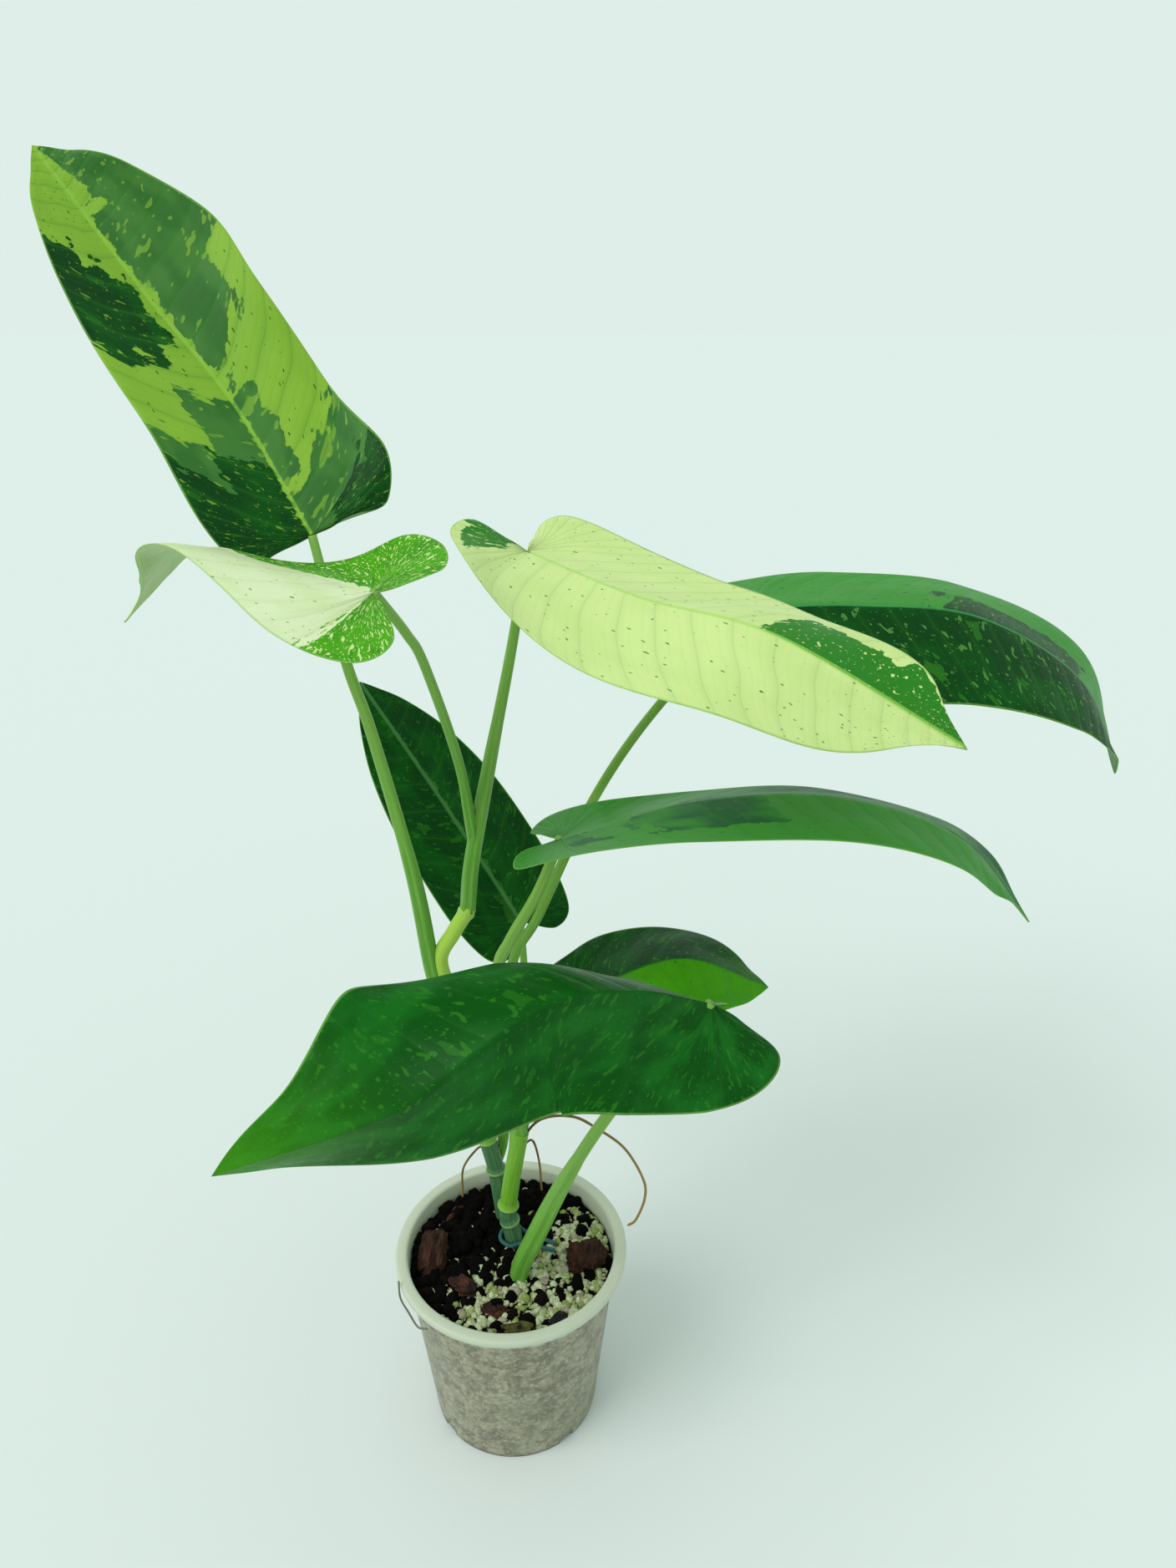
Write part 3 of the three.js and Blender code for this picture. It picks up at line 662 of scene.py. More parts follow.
# Philodendron blade: a living leaf with a thin waxy skin. The eye gets a soft sheen, light
# glowing a little through the pale parts, sunken side veins and streaked sectors of colour.
def blade_material(key, leaf, settings):
    material, tree = new_material("waxy_blade_" + key)
    seed = sum(map(ord, key)) % 23
    fields = [
        add_node(tree, "ShaderNodeAttribute", out="Vector", attribute_name=name)
        for name in ("vein", "flat", "patch")
    ]
    veins, flats, patches = [
        add_node(tree, "ShaderNodeSeparateXYZ", {0: field}).node.outputs for field in fields
    ]
    out = add_node(tree, "ShaderNodeMath", {0: veins[1]}, operation="ABSOLUTE")
    across = add_node(tree, "ShaderNodeMath", {0: flats[1]}, operation="ABSOLUTE")

    def streaks(lines, run, detail, shift):
        """Noise drawn out along the side veins: lines across them and run along them."""
        scaled = add_node(
            tree,
            "ShaderNodeMapping",
            {"Vector": fields[0], "Scale": (lines, run, 1), "Location": (seed + shift, seed, shift)},
        )
        return add_node(
            tree, "ShaderNodeTexNoise", {"Vector": scaled, "Scale": 1.0, "Detail": detail, "Roughness": 0.6}
        )

    # The sectors' edges are ragged along the side veins.
    edge = streaks(*EDGE_TEETH, 3.0, 0.0)
    centred = add_node(tree, "ShaderNodeMath", {0: edge, 1: -0.5})
    mid, deep = [
        add_node(tree, "ShaderNodeMath", {0: centred, 1: EDGE_RAGGED, 2: inside}, operation="MULTIPLY_ADD")
        for inside in patches[:2]
    ]
    cloud = streaks(12, 2, 2.0, 3.0)
    # Lighter flecks lie along the veins of the darker sectors, thick in some places.
    dashes = streaks(120, 7, 1.0, 5.0)
    dots = streaks(230, 26, 1.0, 6.0)
    broad = streaks(52, 2.6, 2.0, 8.0)
    specks = streaks(150, 26, 0.0, 9.0)
    parts = ("light", "shade", "middle", "dark", "dark_tone", "fleck")
    light, shade, middle, dark, dark_tone, fleck = [getattr(settings, leaf[part]) for part in parts]
    flecked = leaf["flecked"]
    crowded = leaf["crowded"]
    pale = paint_over(tree, light, [(cloud, 0.42, 0.62, 0.3, shade), (specks, 0.765, 0.78, 0.8, dark)])
    half = paint_over(
        tree,
        middle,
        [
            (cloud, 0.4, 0.6, 0.6, settings.mid_shade),
            (broad, 0.62, 0.64, flecked, fleck),
            (dashes, 0.69 - crowded, 0.72 - crowded, flecked, fleck),
        ],
    )
    tone = paint_over(
        tree,
        dark,
        [
            (cloud, 0.42, 0.64, 0.8, dark_tone),
            (broad, 0.63, 0.65, 0.6 * flecked, settings.mid_green),
            (dashes, 0.7 - crowded, 0.73 - crowded, flecked, fleck),
            (dots, 0.72 - crowded, 0.75 - crowded, flecked, fleck),
        ],
    )
    colour = paint_over(tree, pale, [(mid, -0.03, 0.03, 1.0, half), (deep, -0.03, 0.03, 1.0, tone)])

    # Side veins: broad soft bands with finer lines between them.
    wobble = streaks(5, 1.5, 1.0, 2.0)
    bent = add_node(tree, "ShaderNodeMath", {0: wobble, 1: 0.02, 2: veins[0]}, operation="MULTIPLY_ADD")
    count = leaf["route"].length * MM / settings.vein_spacing

    def ribbing(times):
        """How far a point lies from the nearest of evenly spaced veins: 0 on one and 1 between two."""
        turned = add_node(tree, "ShaderNodeMath", {0: bent, 1: times * math.pi}, operation="MULTIPLY")
        wave = add_node(tree, "ShaderNodeMath", {0: turned}, operation="SINE")
        return add_node(tree, "ShaderNodeMath", {0: wave}, operation="ABSOLUTE")

    bands = ribbing(count)
    fine = ribbing(3 * count)
    colour = paint_over(
        tree,
        colour,
        [
            (bands, 0.8, 0.0, 0.6 * leaf["veined"], settings.vein),
            (bands, 0.14, 0.0, leaf["veined"], settings.vein),
            (fine, 0.5, 0.0, 0.4 * leaf["veined"], settings.vein),
            # The midrib is a narrow line, and the margin a thinner one, painted as a highlight along the
            # edge.
            (across, 1.3, 0.5, leaf["rib"][1], linear(leaf["rib"][0])),
            (out, 0.975, 0.985, 0.45, settings.margin),
            (veins[0], 0.7, 0.95, leaf["tip"], settings.fresh_green),
            # The under face is duller.
            (patches[2], 0.0, 1.0, 0.45, settings.under_face),
        ],
    )
    swell = streaks(22, 3, 2.0, 7.0)
    height = add_node(tree, "ShaderNodeMath", {0: bands, 1: 0.6, 2: swell}, operation="MULTIPLY_ADD")
    height = add_node(tree, "ShaderNodeMath", {0: fine, 1: 0.1, 2: height}, operation="MULTIPLY_ADD")
    roughness = add_node(
        tree,
        "ShaderNodeMapRange",
        {"Value": streaks(30, 6, 2.0, 11.0), "To Min": leaf["gloss"][0], "To Max": leaf["gloss"][1]},
    )
    # The cuticle's IOR is about 1.45; scattering under the skin gives the blade its glow.
    finish_surface(
        tree,
        colour,
        height,
        0.4,
        roughness,
        IOR=1.45,
        Specular_IOR_Level=leaf["shine"],
        Subsurface_Weight=0.1,
        Subsurface_Radius=(0.3, 1.0, 0.15),
        Subsurface_Scale=1.5 * MM,
    )
    return material


# ---------------------------------------------------------------- stems


def tube(points, radii, sides, shape=None):
    """Rings of points round a path, with both ends closed. shape(angle, row) scales the radius."""
    points = np.asarray(points, float)
    way = np.gradient(points, axis=0)
    way /= np.linalg.norm(way, axis=1)[:, None]
    normal = np.cross(way[0], (0, 1, 0.1))
    normal /= np.linalg.norm(normal)
    angles = np.linspace(0, 2 * math.pi, sides, endpoint=False)
    rings = []
    for row, (middle, along) in enumerate(zip(points, way)):
        normal = normal - normal.dot(along) * along
        normal /= np.linalg.norm(normal)
        other = np.cross(along, normal)
        scale = np.array([shape(a, row) if shape else 1.0 for a in angles]) * radii[row]
        out = np.outer(np.cos(angles) * scale, normal)
        rings.append(middle + out + np.outer(np.sin(angles) * scale, other))
    rows = len(points)
    spots = np.concatenate(rings)
    faces = grid_faces(rows, sides, closed=True)
    spots = np.vstack([spots, points[0], points[-1]])
    foot, head = rows * sides, rows * sides + 1
    for c in range(sides):
        d = (c + 1) % sides
        faces.append((foot, d, c))
        faces.append((head, (rows - 1) * sides + c, (rows - 1) * sides + d))
    return spots, faces


def stem_rows(route, radius, rings, step=1.5):
    """Shares and radii along a stem that tapers and carries rounded rings."""
    count = max(12, int(route.length / step))
    shares = np.linspace(0, 1, count)
    radii = radius[0] + (radius[1] - radius[0]) * shares
    for at, height in rings:
        apart = (shares - at) * route.length
        radii += height * np.exp(-((apart / (0.6 * RING_HALF_WIDTH)) ** 2))
        radii -= 0.25 * np.exp(-(((apart - 1.6 * RING_HALF_WIDTH) / 1.2) ** 2))
    return shares, radii


def make_stem(name, material, route, shares, radii, sides, section=None):
    """A tube along a route. Its skin reads the share of the length, the way round and the
    height in millimetres."""
    points, faces = tube(route.at(shares), radii, sides, section)
    piece = make_piece(name, points, faces, material)
    share = np.concatenate([np.repeat(shares, sides), [0, 1]])
    angle = np.concatenate([np.tile(np.arange(sides) / sides, len(shares)), [0, 0]])
    wrapped = np.abs(angle - 0.5) * 2
    paint(piece, "stem", np.column_stack([share, wrapped, share * route.length]))
    tidy_mesh(piece)


# Stem skin: a smooth living epidermis over green tissue. The eye gets fine lengthwise
# streaks, pale freckles, a waxy sheen and a paler collar at each ring.
def stem_material(name, low, high, freckle, rings=(), change=(0.05, 0.75), roughness=0.4):
    material, tree = new_material(name)
    stem = add_node(tree, "ShaderNodeAttribute", out="Vector", attribute_name="stem")
    share = add_node(tree, "ShaderNodeSeparateXYZ", {0: stem}, 0)
    # Streaks are about 20 mm long and a sixteenth of the way round.
    stretch = add_node(tree, "ShaderNodeMapping", {"Vector": stem, "Scale": (0.0, 16.0, 0.05)})
    streak = add_node(tree, "ShaderNodeTexNoise", {"Vector": stretch, "Scale": 1.0, "Detail": 4.0})
    spread = add_node(tree, "ShaderNodeMapping", {"Vector": stem, "Scale": (0.0, 8.0, 0.6)})
    spots = add_node(tree, "ShaderNodeTexNoise", {"Vector": spread, "Scale": 1.0, "Detail": 2.0})
    layers = [
        (share, change[0], change[1], 1.0, high),
        (streak, 0.42, 0.7, 0.25, freckle),
        (streak, 0.5, 0.3, 0.2, low),
        (spots, 0.64, 0.72, 0.25, freckle),
    ]
    for at, width in rings:
        apart = add_node(tree, "ShaderNodeMath", {0: share, 1: at}, operation="SUBTRACT")
        apart = add_node(tree, "ShaderNodeMath", {0: apart}, operation="ABSOLUTE")
        layers.append((apart, width, 0.3 * width, 0.6, freckle))
    colour = paint_over(tree, low, layers)
    finish_surface(
        tree,
        colour,
        streak,
        0.2,
        roughness,
        IOR=1.45,
        Specular_IOR_Level=0.22,
        Subsurface_Weight=0.15,
        Subsurface_Radius=(0.4, 1.0, 0.2),
        Subsurface_Scale=2 * MM,
    )
    return material


def make_petiole(key, leaf, settings):
    """A petiole: rounded below, channelled above, with a sheath whose thin wings end part way up."""
    route = Route(add_up([*leaf["petiole"], leaf["midrib"][0]]))
    shares, radii = stem_rows(route, leaf["radius"], [])
    wing = leaf["wing"]

    def section(angle, row):
        share = shares[row]
        apart = (angle - math.pi / 2 + math.pi) % (2 * math.pi) - math.pi
        channel = 0.16 * math.exp(-((apart / 0.35) ** 2))
        lips = 0.0
        if share < wing:
            fade = min(1.0, (wing - share) / 0.02)
            for at in (math.pi / 2 - 0.5, math.pi / 2 + 0.5):
                lips += 0.18 * fade * math.exp(-(((angle - at) / 0.18) ** 2))
        return 1 - channel + lips

    swell = np.sin(math.pi * np.clip(shares / wing, 0, 1)) ** 0.7
    radii *= 1 + leaf["sheath"] * swell
    colours = (settings.petiole_low, settings.petiole_high, settings.stem_fleck)
    material = stem_material("petiole_skin_" + key, *colours, roughness=0.34)
    make_stem("petiole_" + key, material, route, shares, radii, PETIOLE_SIDES, section)


def make_cane(key, cane, settings):
    """A cane or shoot with a ring at each fallen leaf, greener above its last ring."""
    route = Route(add_up(cane["route"]))
    shares, radii = stem_rows(route, cane["radius"], cane["rings"], 1.0)
    rings = [(at, 1.2 / route.length) for at, _ in cane["rings"]]
    colours = (settings.cane_low, settings.cane_high, settings.stem_fleck)
    if key == "shoot_upper":
        colours = (settings.shoot_green, settings.shoot_green, settings.stem_fleck)
    last_ring = rings[-1][0]
    change = (last_ring - 0.01, last_ring + 0.01)
    material = stem_material("cane_skin_" + key, *colours, rings, change)
    make_stem(key, material, route, shares, radii, CANE_SIDES)


# ---------------------------------------------------------------- roots and tie


def root_routes():
    """Each aerial root's points, above the floor, and its radius, in millimetres."""
    edge = mix_radius(MIX_TOP)
    dive = (28, 8, -8)
    beside = LIP_RADIUS + TOUCH_GAP + LONG_ROOT
    thin = LIP_RADIUS + TOUCH_GAP + THIN_ROOT
    starts = {
        "root_back_left": ([(-14, 26, 52), (-19, 32, 45)], 128, 4),
        "root_back_middle": ([(5, 11, 64), (11, 20, 62)], 72, 6),
    }
    routes = {}
    for name, (start, bearing, inset) in starts.items():
        ends = [polar(bearing, edge - inset - z / 8, z) for z in dive]
        routes[name] = (add_up(start + ends), SHORT_ROOT)
    long_root = [(5, 10, 70), (16, 11, 84), (32, 11, 86), (45, 13, 76), (beside - 2, 16, 60)]
    long_root += [(beside + 8, 17, 38), (beside + 9, 17, 24), (beside + 4.5, 16, 10), (beside, 14, 8)]
    routes["root_long_right"] = (add_up(long_root), LONG_ROOT)
    stray = [(205, 12), (209, 5), (216, 1), (225, 1), (231, 4)]
    over_lip = [polar(b, thin + i % 2, MIX_TOP + z) for i, (b, z) in enumerate(stray)]
    routes["root_thin_left"] = (over_lip, THIN_ROOT)
    return routes


def make_cord(name, points, radius, material, knots=0.1):
    """A thin root or tie whose thickness varies a little along it."""
    route = Route(points)
    shares = np.linspace(0, 1, max(20, int(route.length / 1.2)))
    knobs = [noise.noise(Vector((s * route.length / 3, radius, 0))) for s in shares]
    radii = np.array([radius * (1 + knots * knob) for knob in knobs])
    radii[-1] *= 0.5
    make_stem(name, material, route, shares, radii, CORD_SIDES)


# ---------------------------------------------------------------- pot


def spun(profile, sides):
    """A closed profile of (radius, height) turned round the axis."""
    angles = np.linspace(0, 2 * math.pi, sides, endpoint=False)
    cos, sin = np.cos(angles), np.sin(angles)
    rows = [np.column_stack([r * cos, r * sin, np.full(sides, z)]) for r, z in profile]
    return np.concatenate(rows), grid_faces(len(profile), sides, closed=True)


def make_pot(settings):
    """The nursery pot: a thin tapered wall, a rolled-out lip, a foot ring, notches and drain holes."""
    wall = POT_WALL
    foot = POT_BASE_RADIUS
    rim = LIP_RADIUS - LIP_THICKNESS
    # From the floor's middle out under the foot ring, up the wall past a shallow groove, round
    # the lip, and down the inside.
    profile = [(0.01, 0.8), (foot - 6, 0.8), (foot - 4, 0.0), (foot - 0.5, 0.0), (foot, 0.5)]
    profile += [(wall_radius(3) + 0.05, 3), (wall_radius(9), 9)]
    profile += [(wall_radius(9.6) - 0.25, 9.6), (wall_radius(10.6) - 0.25, 10.6), (wall_radius(11.4), 11.4)]
    profile += [(wall_radius(z), z) for z in range(16, 100, 6)]
    lip_foot = POT_HEIGHT - LIP_HEIGHT
    profile += [(wall_radius(104.6), 104.6), (wall_radius(105.6) + 0.3, 105.6)]
    profile += [(wall_radius(106) + 1, 106.2), (rim - 0.6, 106.2), (rim, 105.6)]
    profile += [(rim, lip_foot + 0.3), (LIP_RADIUS - 1.1, lip_foot), (LIP_RADIUS - 0.3, lip_foot)]
    profile += [(LIP_RADIUS, lip_foot + 0.4), (LIP_RADIUS, POT_HEIGHT - 1.2)]
    profile += [(LIP_RADIUS - 0.35, POT_HEIGHT - 0.35), (LIP_RADIUS - 1.2, POT_HEIGHT)]
    profile += [(POT_MOUTH_RADIUS + 0.4, POT_HEIGHT), (POT_MOUTH_RADIUS - 0.7, POT_HEIGHT - 0.35)]
    profile += [(POT_MOUTH_RADIUS - wall, POT_HEIGHT - 1.4)]
    profile += [(wall_radius(z) - wall, z) for z in range(102, 3, -7)]
    profile += [(wall_radius(2.4) - wall - 0.2, 2.4), (wall_radius(2) - wall - 1.2, POT_FLOOR)]
    profile += [(0.01, POT_FLOOR)]
    points, faces = spun(profile, POT_SIDES)
    piece = make_piece("nursery_pot", points, faces, pot_material(settings))
    tidy_mesh(piece)
    drains = [(60 * k, 27, 4, 4, 6) for k in range(6)]
    notches = [(-50 + 90 * k, 44, 6, 4.5, 4) for k in range(4)]
    cut_out(piece, drains + notches)


def cut_out(piece, cutters):
    """Cuts rounded holes in the foot: each is (bearing, distance from the axis, reach outwards,
    half width, half height)."""
    made = []
    for bearing, away, reach, half, tall in cutters:
        work = bmesh.new()
        ends = {"radius1": half, "radius2": half * 0.9}
        bmesh.ops.create_cone(work, cap_ends=True, segments=24, depth=2 * tall, **ends)
        bmesh.ops.scale(work, verts=work.verts, vec=(reach / half, 1, 1))
        turn = Matrix.Rotation(math.radians(bearing), 3, "Z")
        bmesh.ops.rotate(work, verts=work.verts, matrix=turn)
        bmesh.ops.translate(work, verts=work.verts, vec=polar(bearing, away, 0))
        bmesh.ops.scale(work, verts=work.verts, vec=(MM, MM, MM))
        mesh = bpy.data.meshes.new("cutter")
        work.to_mesh(mesh)
        work.free()
        cutter = bpy.data.objects.new("cutter", mesh)
        bpy.context.scene.collection.objects.link(cutter)
        made.append(cutter)
        hole = piece.modifiers.new("hole", "BOOLEAN")
        hole.operation = "DIFFERENCE"
        hole.solver = "EXACT"
        hole.object = cutter
    bpy.context.view_layer.update()
    evaluated = piece.evaluated_get(bpy.context.evaluated_depsgraph_get())
    cut = bpy.data.meshes.new_from_object(evaluated)
    piece.modifiers.clear()
    piece.data = cut
    piece.data.name = piece.name
    for cutter in made:
        bpy.data.objects.remove(cutter)


# Clear polypropylene, injection moulded with a frosted wall. Below the mix's surface the eye
# sees the mix pressed against the wall, blurred and greyed by the frosting; above it the wall
# is a pale milky green. A band of painted shade darkens the foot where the pot meets the floor.
def pot_material(settings):
    material, tree = new_material("frosted_polypropylene")
    place = add_node(tree, "ShaderNodeNewGeometry", out="Position")
    up = add_node(tree, "ShaderNodeSeparateXYZ", {0: place}, 2)
    # Lumps, grains, stains and grit, each with its size in millimetres and its detail.
    lumps, grains, stains, grit = [
        add_node(
            tree,
            "ShaderNodeTexNoise",
            {"Vector": place, "Scale": 1 / (size * MM), "Detail": detail, "Roughness": 0.6},
        )
        for size, detail in ((8.0, 5.0), (2.2, 3.0), (28, 2.0), (1.1, 2.0))
    ]
    drift = add_node(tree, "ShaderNodeMath", {0: lumps, 1: 9 * MM, 2: up}, operation="MULTIPLY_ADD")
    colour = paint_over(
        tree,
        settings.wall_light,
        [
            (lumps, 0.6, 0.36, 0.6, settings.wall_dark),
            (grains, 0.52, 0.7, 0.5, settings.wall_pale),
            (grains, 0.5, 0.3, 0.6, settings.wall_dark),
            (stains, 0.45, 0.68, 0.35, settings.wall_green),
            # The mix ends a few millimetres below the lip, along an uneven line.
            (drift, (MIX_TOP + 1) * MM, (MIX_TOP + 5) * MM, 1.0, settings.pot_plastic),
            # The bottom 2.5 mm is darker: painted shade where the pot stands on the floor.
            (up, 2.5 * MM, 0.5 * MM, 0.6, settings.wall_dark),
        ],
    )
    finish_surface(
        tree,
        colour,
        grit,
        0.05,
        0.42,
        IOR=1.49,
        Specular_IOR_Level=0.3,
        Subsurface_Weight=0.2,
        Subsurface_Radius=(1.0, 1.0, 0.9),
        Subsurface_Scale=3 * MM,
    )
    return material


# ---------------------------------------------------------------- potting mix


def mix_height(x, y):
    """The mix's lumpy surface, in millimetres above the floor."""
    away = min(1.0, math.hypot(x, y) / 52)
    lump = 1.4 * noise.noise(Vector((x / 9, y / 9, 1.3)))
    lump += 0.8 * noise.noise(Vector((x / 3.5, y / 3.5, 7.1)))
    return MIX_TOP + lump * (1 - away**6) - 0.4


def pebble(rng, size, squash=1.0, level=1):
    """A rough little stone: a rounded block with its corners knocked about."""
    work = bmesh.new()
    bmesh.ops.create_icosphere(work, subdivisions=level, radius=0.5)
    points = np.array([v.co for v in work.verts])
    faces = [[v.index for v in f.verts] for f in work.faces]
    work.free()
    points *= 1 + rng.uniform(-0.16, 0.16, (len(points), 1))
    points *= size * rng.uniform(0.75, 1.25, 3) * (1, 1, squash)
    spin = Matrix.Rotation(rng.uniform(0, 6.28), 3, "Z")
    turn = np.array(spin @ Matrix.Rotation(rng.uniform(-0.6, 0.6), 3, "X"))
    return points @ turn.T, faces


def make_mix(settings):
    """The potting mix: a lumpy bed with crumbs of peat and grains of pumice, in one piece."""
    rng = np.random.default_rng(11)
    sides = MIX_SIDES
    inner = mix_radius(MIX_TOP)
    # The top's rings from the middle out, then the side's going down, then the underside.
    rows = [(inner * r / MIX_RINGS, None) for r in range(MIX_RINGS + 1)]
    rows += [(mix_radius(z), z) for z in (70, 40, 12, MIX_FOOT)]
    points = []
    for radius, z in rows:
        for s in range(sides):
            angle = 2 * math.pi * s / sides
            x, y = radius * math.cos(angle), radius * math.sin(angle)
            points.append((x, y, mix_height(x, y) if z is None else z))
    faces = grid_faces(len(rows), sides, closed=True)
    last = len(points)
    points.append((0, 0, MIX_FOOT))
    for s in range(sides):
        faces.append((last, last - sides + (s + 1) % sides, last - sides + s))
    stacks = [np.array(points)]
    tones = [np.zeros(len(points))]
    total = len(points)

    def scatter(many, low, high, kind, wanted, level, proud):
        """Drops crumbs of one kind, 1 stone and 3 peat, where they are wanted: low and high are
        their sizes, and proud is how far they stand out."""
        nonlocal total, faces
        for _ in range(many):
            radius = (inner - 1.5) * math.sqrt(rng.random())
            angle = rng.uniform(0, 2 * math.pi)
            x, y = radius * math.cos(angle), radius * math.sin(angle)
            keep = rng.random()
            size = rng.uniform(low, high)
            spots, corners = pebble(rng, size, 0.85, level)
            shade = rng.random()
            if keep > wanted(x, y):
                continue
            z = mix_height(x, y) + size * proud
            stacks.append(spots + (x, y, z))
            tones.append(np.full(len(spots), kind + 0.98 * shade))
            faces += [[i + total for i in f] for f in corners]
            total += len(spots)

    def grainy(x, y):
        """Grains lie thick at the front and the right, thin at the back and the left."""
        forward = 0.7 * x - 0.75 * y + 6 * noise.noise(Vector((x / 12, y / 12, 3)))
        return 0.08 + 0.92 * float(smooth(forward, -16, 14))

    scatter(1500, 2.2, 5.0, 1.0, grainy, 2, 0.25)
    scatter(1700, 1.2, 2.6, 1.0, grainy, 1, 0.45)
    scatter(1300, 2.0, 8.0, 3.0, lambda x, y: 1.1 - grainy(x, y), 2, 0.2)
    scatter(150, 1.5, 4.0, 3.0, grainy, 2, 0.4)
    points = np.concatenate(stacks)
    piece = make_piece("potting_mix", points, faces, mix_material(settings))
    paint(piece, "grain", np.concatenate(tones))
    tidy_mesh(piece, merge=False)


# Potting mix: milled peat with pumice and a little clay grit. The eye gets nearly black damp
# crumbs, pale green-grey stones with chalky skins, and no shine.
def mix_material(settings):
    material, tree = new_material("peat_and_pumice")
    grain = add_node(tree, "ShaderNodeAttribute", out="Fac", attribute_name="grain")
    place = add_node(tree, "ShaderNodeNewGeometry", out="Position")
    # Crumbs of about 1.4 mm.
    fine = add_node(
        tree, "ShaderNodeTexNoise", {"Vector": place, "Scale": 700.0, "Detail": 4.0, "Roughness": 0.7}
    )
    shade = add_node(tree, "ShaderNodeMath", {0: grain}, operation="FRACT")
    stone = paint_over(
        tree,
        settings.stone_green,
        [
            (shade, 0.0, 0.6, 1.0, settings.stone_pale),
            (shade, 0.8, 0.98, 1.0, settings.stone_tan),
            (fine, 0.55, 0.4, 0.35, settings.peat_brown),
        ],
    )
    colour = paint_over(
        tree,
        settings.peat,
        [
            (fine, 0.48, 0.75, 0.8, settings.peat_brown),
            (grain, 0.99, 1.0, 1.0, stone),
            (grain, 2.0, 2.5, 1.0, settings.peat),
            (shade, 0.8, 1.0, 0.5, settings.peat_brown),
        ],
    )
    finish_surface(tree, colour, fine, 0.4, 0.9, IOR=1.4, Specular_IOR_Level=0.1)
    return material


# Each chunk: bearing, how far past its neighbour, reach, size, turn, share sunk, and how it is
# roughened: coco is a mat of coarse fibres and bark splits in flakes.
CHUNKS = {
    "coco_chunk_right": (-3, 0, 1, (24, 22, 15), 15, 0.35, "coco"),
    "coco_chunk_left": (179, 0, 1, (17, 34, 14), 0, 0.4, "coco"),
    "bark_flake_red": (179, 22.4, 0.66, (10, 18, 7), 12, 0.2, "bark"),
    "bark_piece_dark": (277, -10.8, 0.74, (8, 14, 7), -10, 0.3, "bark"),
    "bark_piece_mossy": (277, 0, 0.98, (8, 18, 8), 0, 0.3, "moss"),
    "charcoal_chip": (302, 0, 0.98, (7, 12, 6), 10, 0.3, "char"),
    "bark_sliver": (179, -30.5, 0.9, (5, 20, 5), 6, 0.3, "bark"),
}


def make_chunk(name, chunk, materials):
    """One chunk: a squared-off ball roughened by its kind and bedded in the mix."""
    bearing, past, reach, (width, length, height), turn, sunk, kind = chunk
    edge = mix_radius(MIX_TOP)
    radius = reach * (edge - width / 2 - length**2 / (8 * edge))
    work = bmesh.new()
    bmesh.ops.create_icosphere(work, subdivisions=5, radius=0.5)
    seed = bearing + past
    for vert in work.verts:
        p = vert.co.copy()
        box = max(abs(p.x), abs(p.y), abs(p.z)) * 2
        p *= 1 + 0.45 * (1 / max(box, 0.55) - 1) * 0.6
        lump = 0.2 * noise.noise(p * 3.5 + Vector((seed, 0, 0))) - 0.06
        if kind == "coco":
            strand = Vector((p.x * 30, p.y * 7, p.z * 24 + seed))
            lump += 0.12 * noise.noise(strand) + 0.06 * noise.noise(p * 34)
        else:
            layers = noise.noise(Vector((p.x * 3, p.y * 3, p.z * 18 + seed)))
            lump += 0.16 * math.copysign(abs(layers) ** 0.6, layers) + 0.05 * noise.noise(p * 20)
        p *= 0.94 + lump
        vert.co = Vector((p.x * width, p.y * length, p.z * height)) * MM
    rise = MIX_TOP + height * (0.5 - sunk)
    place = Matrix.Rotation(math.radians(bearing) + past / radius, 4, "Z")
    place = place @ Matrix.Translation((radius * MM, 0, rise * MM))
    work.transform(place @ Matrix.Rotation(math.radians(turn), 4, "Z"))
    mesh = bpy.data.meshes.new(name)
    work.to_mesh(mesh)
    work.free()
    show_piece(name, mesh, materials[kind])


# Bark, coco husk and charcoal, chopped and damp. The eye gets coarse fibres or flaking
# layers in two browns, matt with a few glints where it is wet.
def chunk_material(settings, name, dark, light, spot, stretch, roughness):
    material, tree = new_material(name)
    dark, light, spot = [getattr(settings, colour) for colour in (dark, light, spot)]
    place = add_node(tree, "ShaderNodeTexCoord", out="Object")
    scaled = add_node(tree, "ShaderNodeMapping", {"Vector": place, "Scale": stretch})
    fibre = add_node(
        tree, "ShaderNodeTexNoise", {"Vector": scaled, "Scale": 1.0, "Detail": 5.0, "Roughness": 0.7}
    )
    patch = add_node(tree, "ShaderNodeTexNoise", {"Vector": place, "Scale": 220.0, "Detail": 3.0})
    colour = paint_over(tree, dark, [(fibre, 0.38, 0.7, 1.0, light), (patch, 0.6, 0.72, 0.6, spot)])
    finish_surface(tree, colour, fibre, 0.6, roughness, IOR=1.45, Specular_IOR_Level=0.2)
    return material


# ---------------------------------------------------------------- settings


def colour_setting(name, default, description):
    return bpy.props.FloatVectorProperty(
        name=name, description=description, default=linear(default), subtype="COLOR", size=4, min=0, max=1
    )


def length_setting(name, default, description):
    """A length, with its default in millimetres."""
    return bpy.props.FloatProperty(
        name=name, description=description, default=default * MM, min=0, unit="LENGTH", precision=4
    )


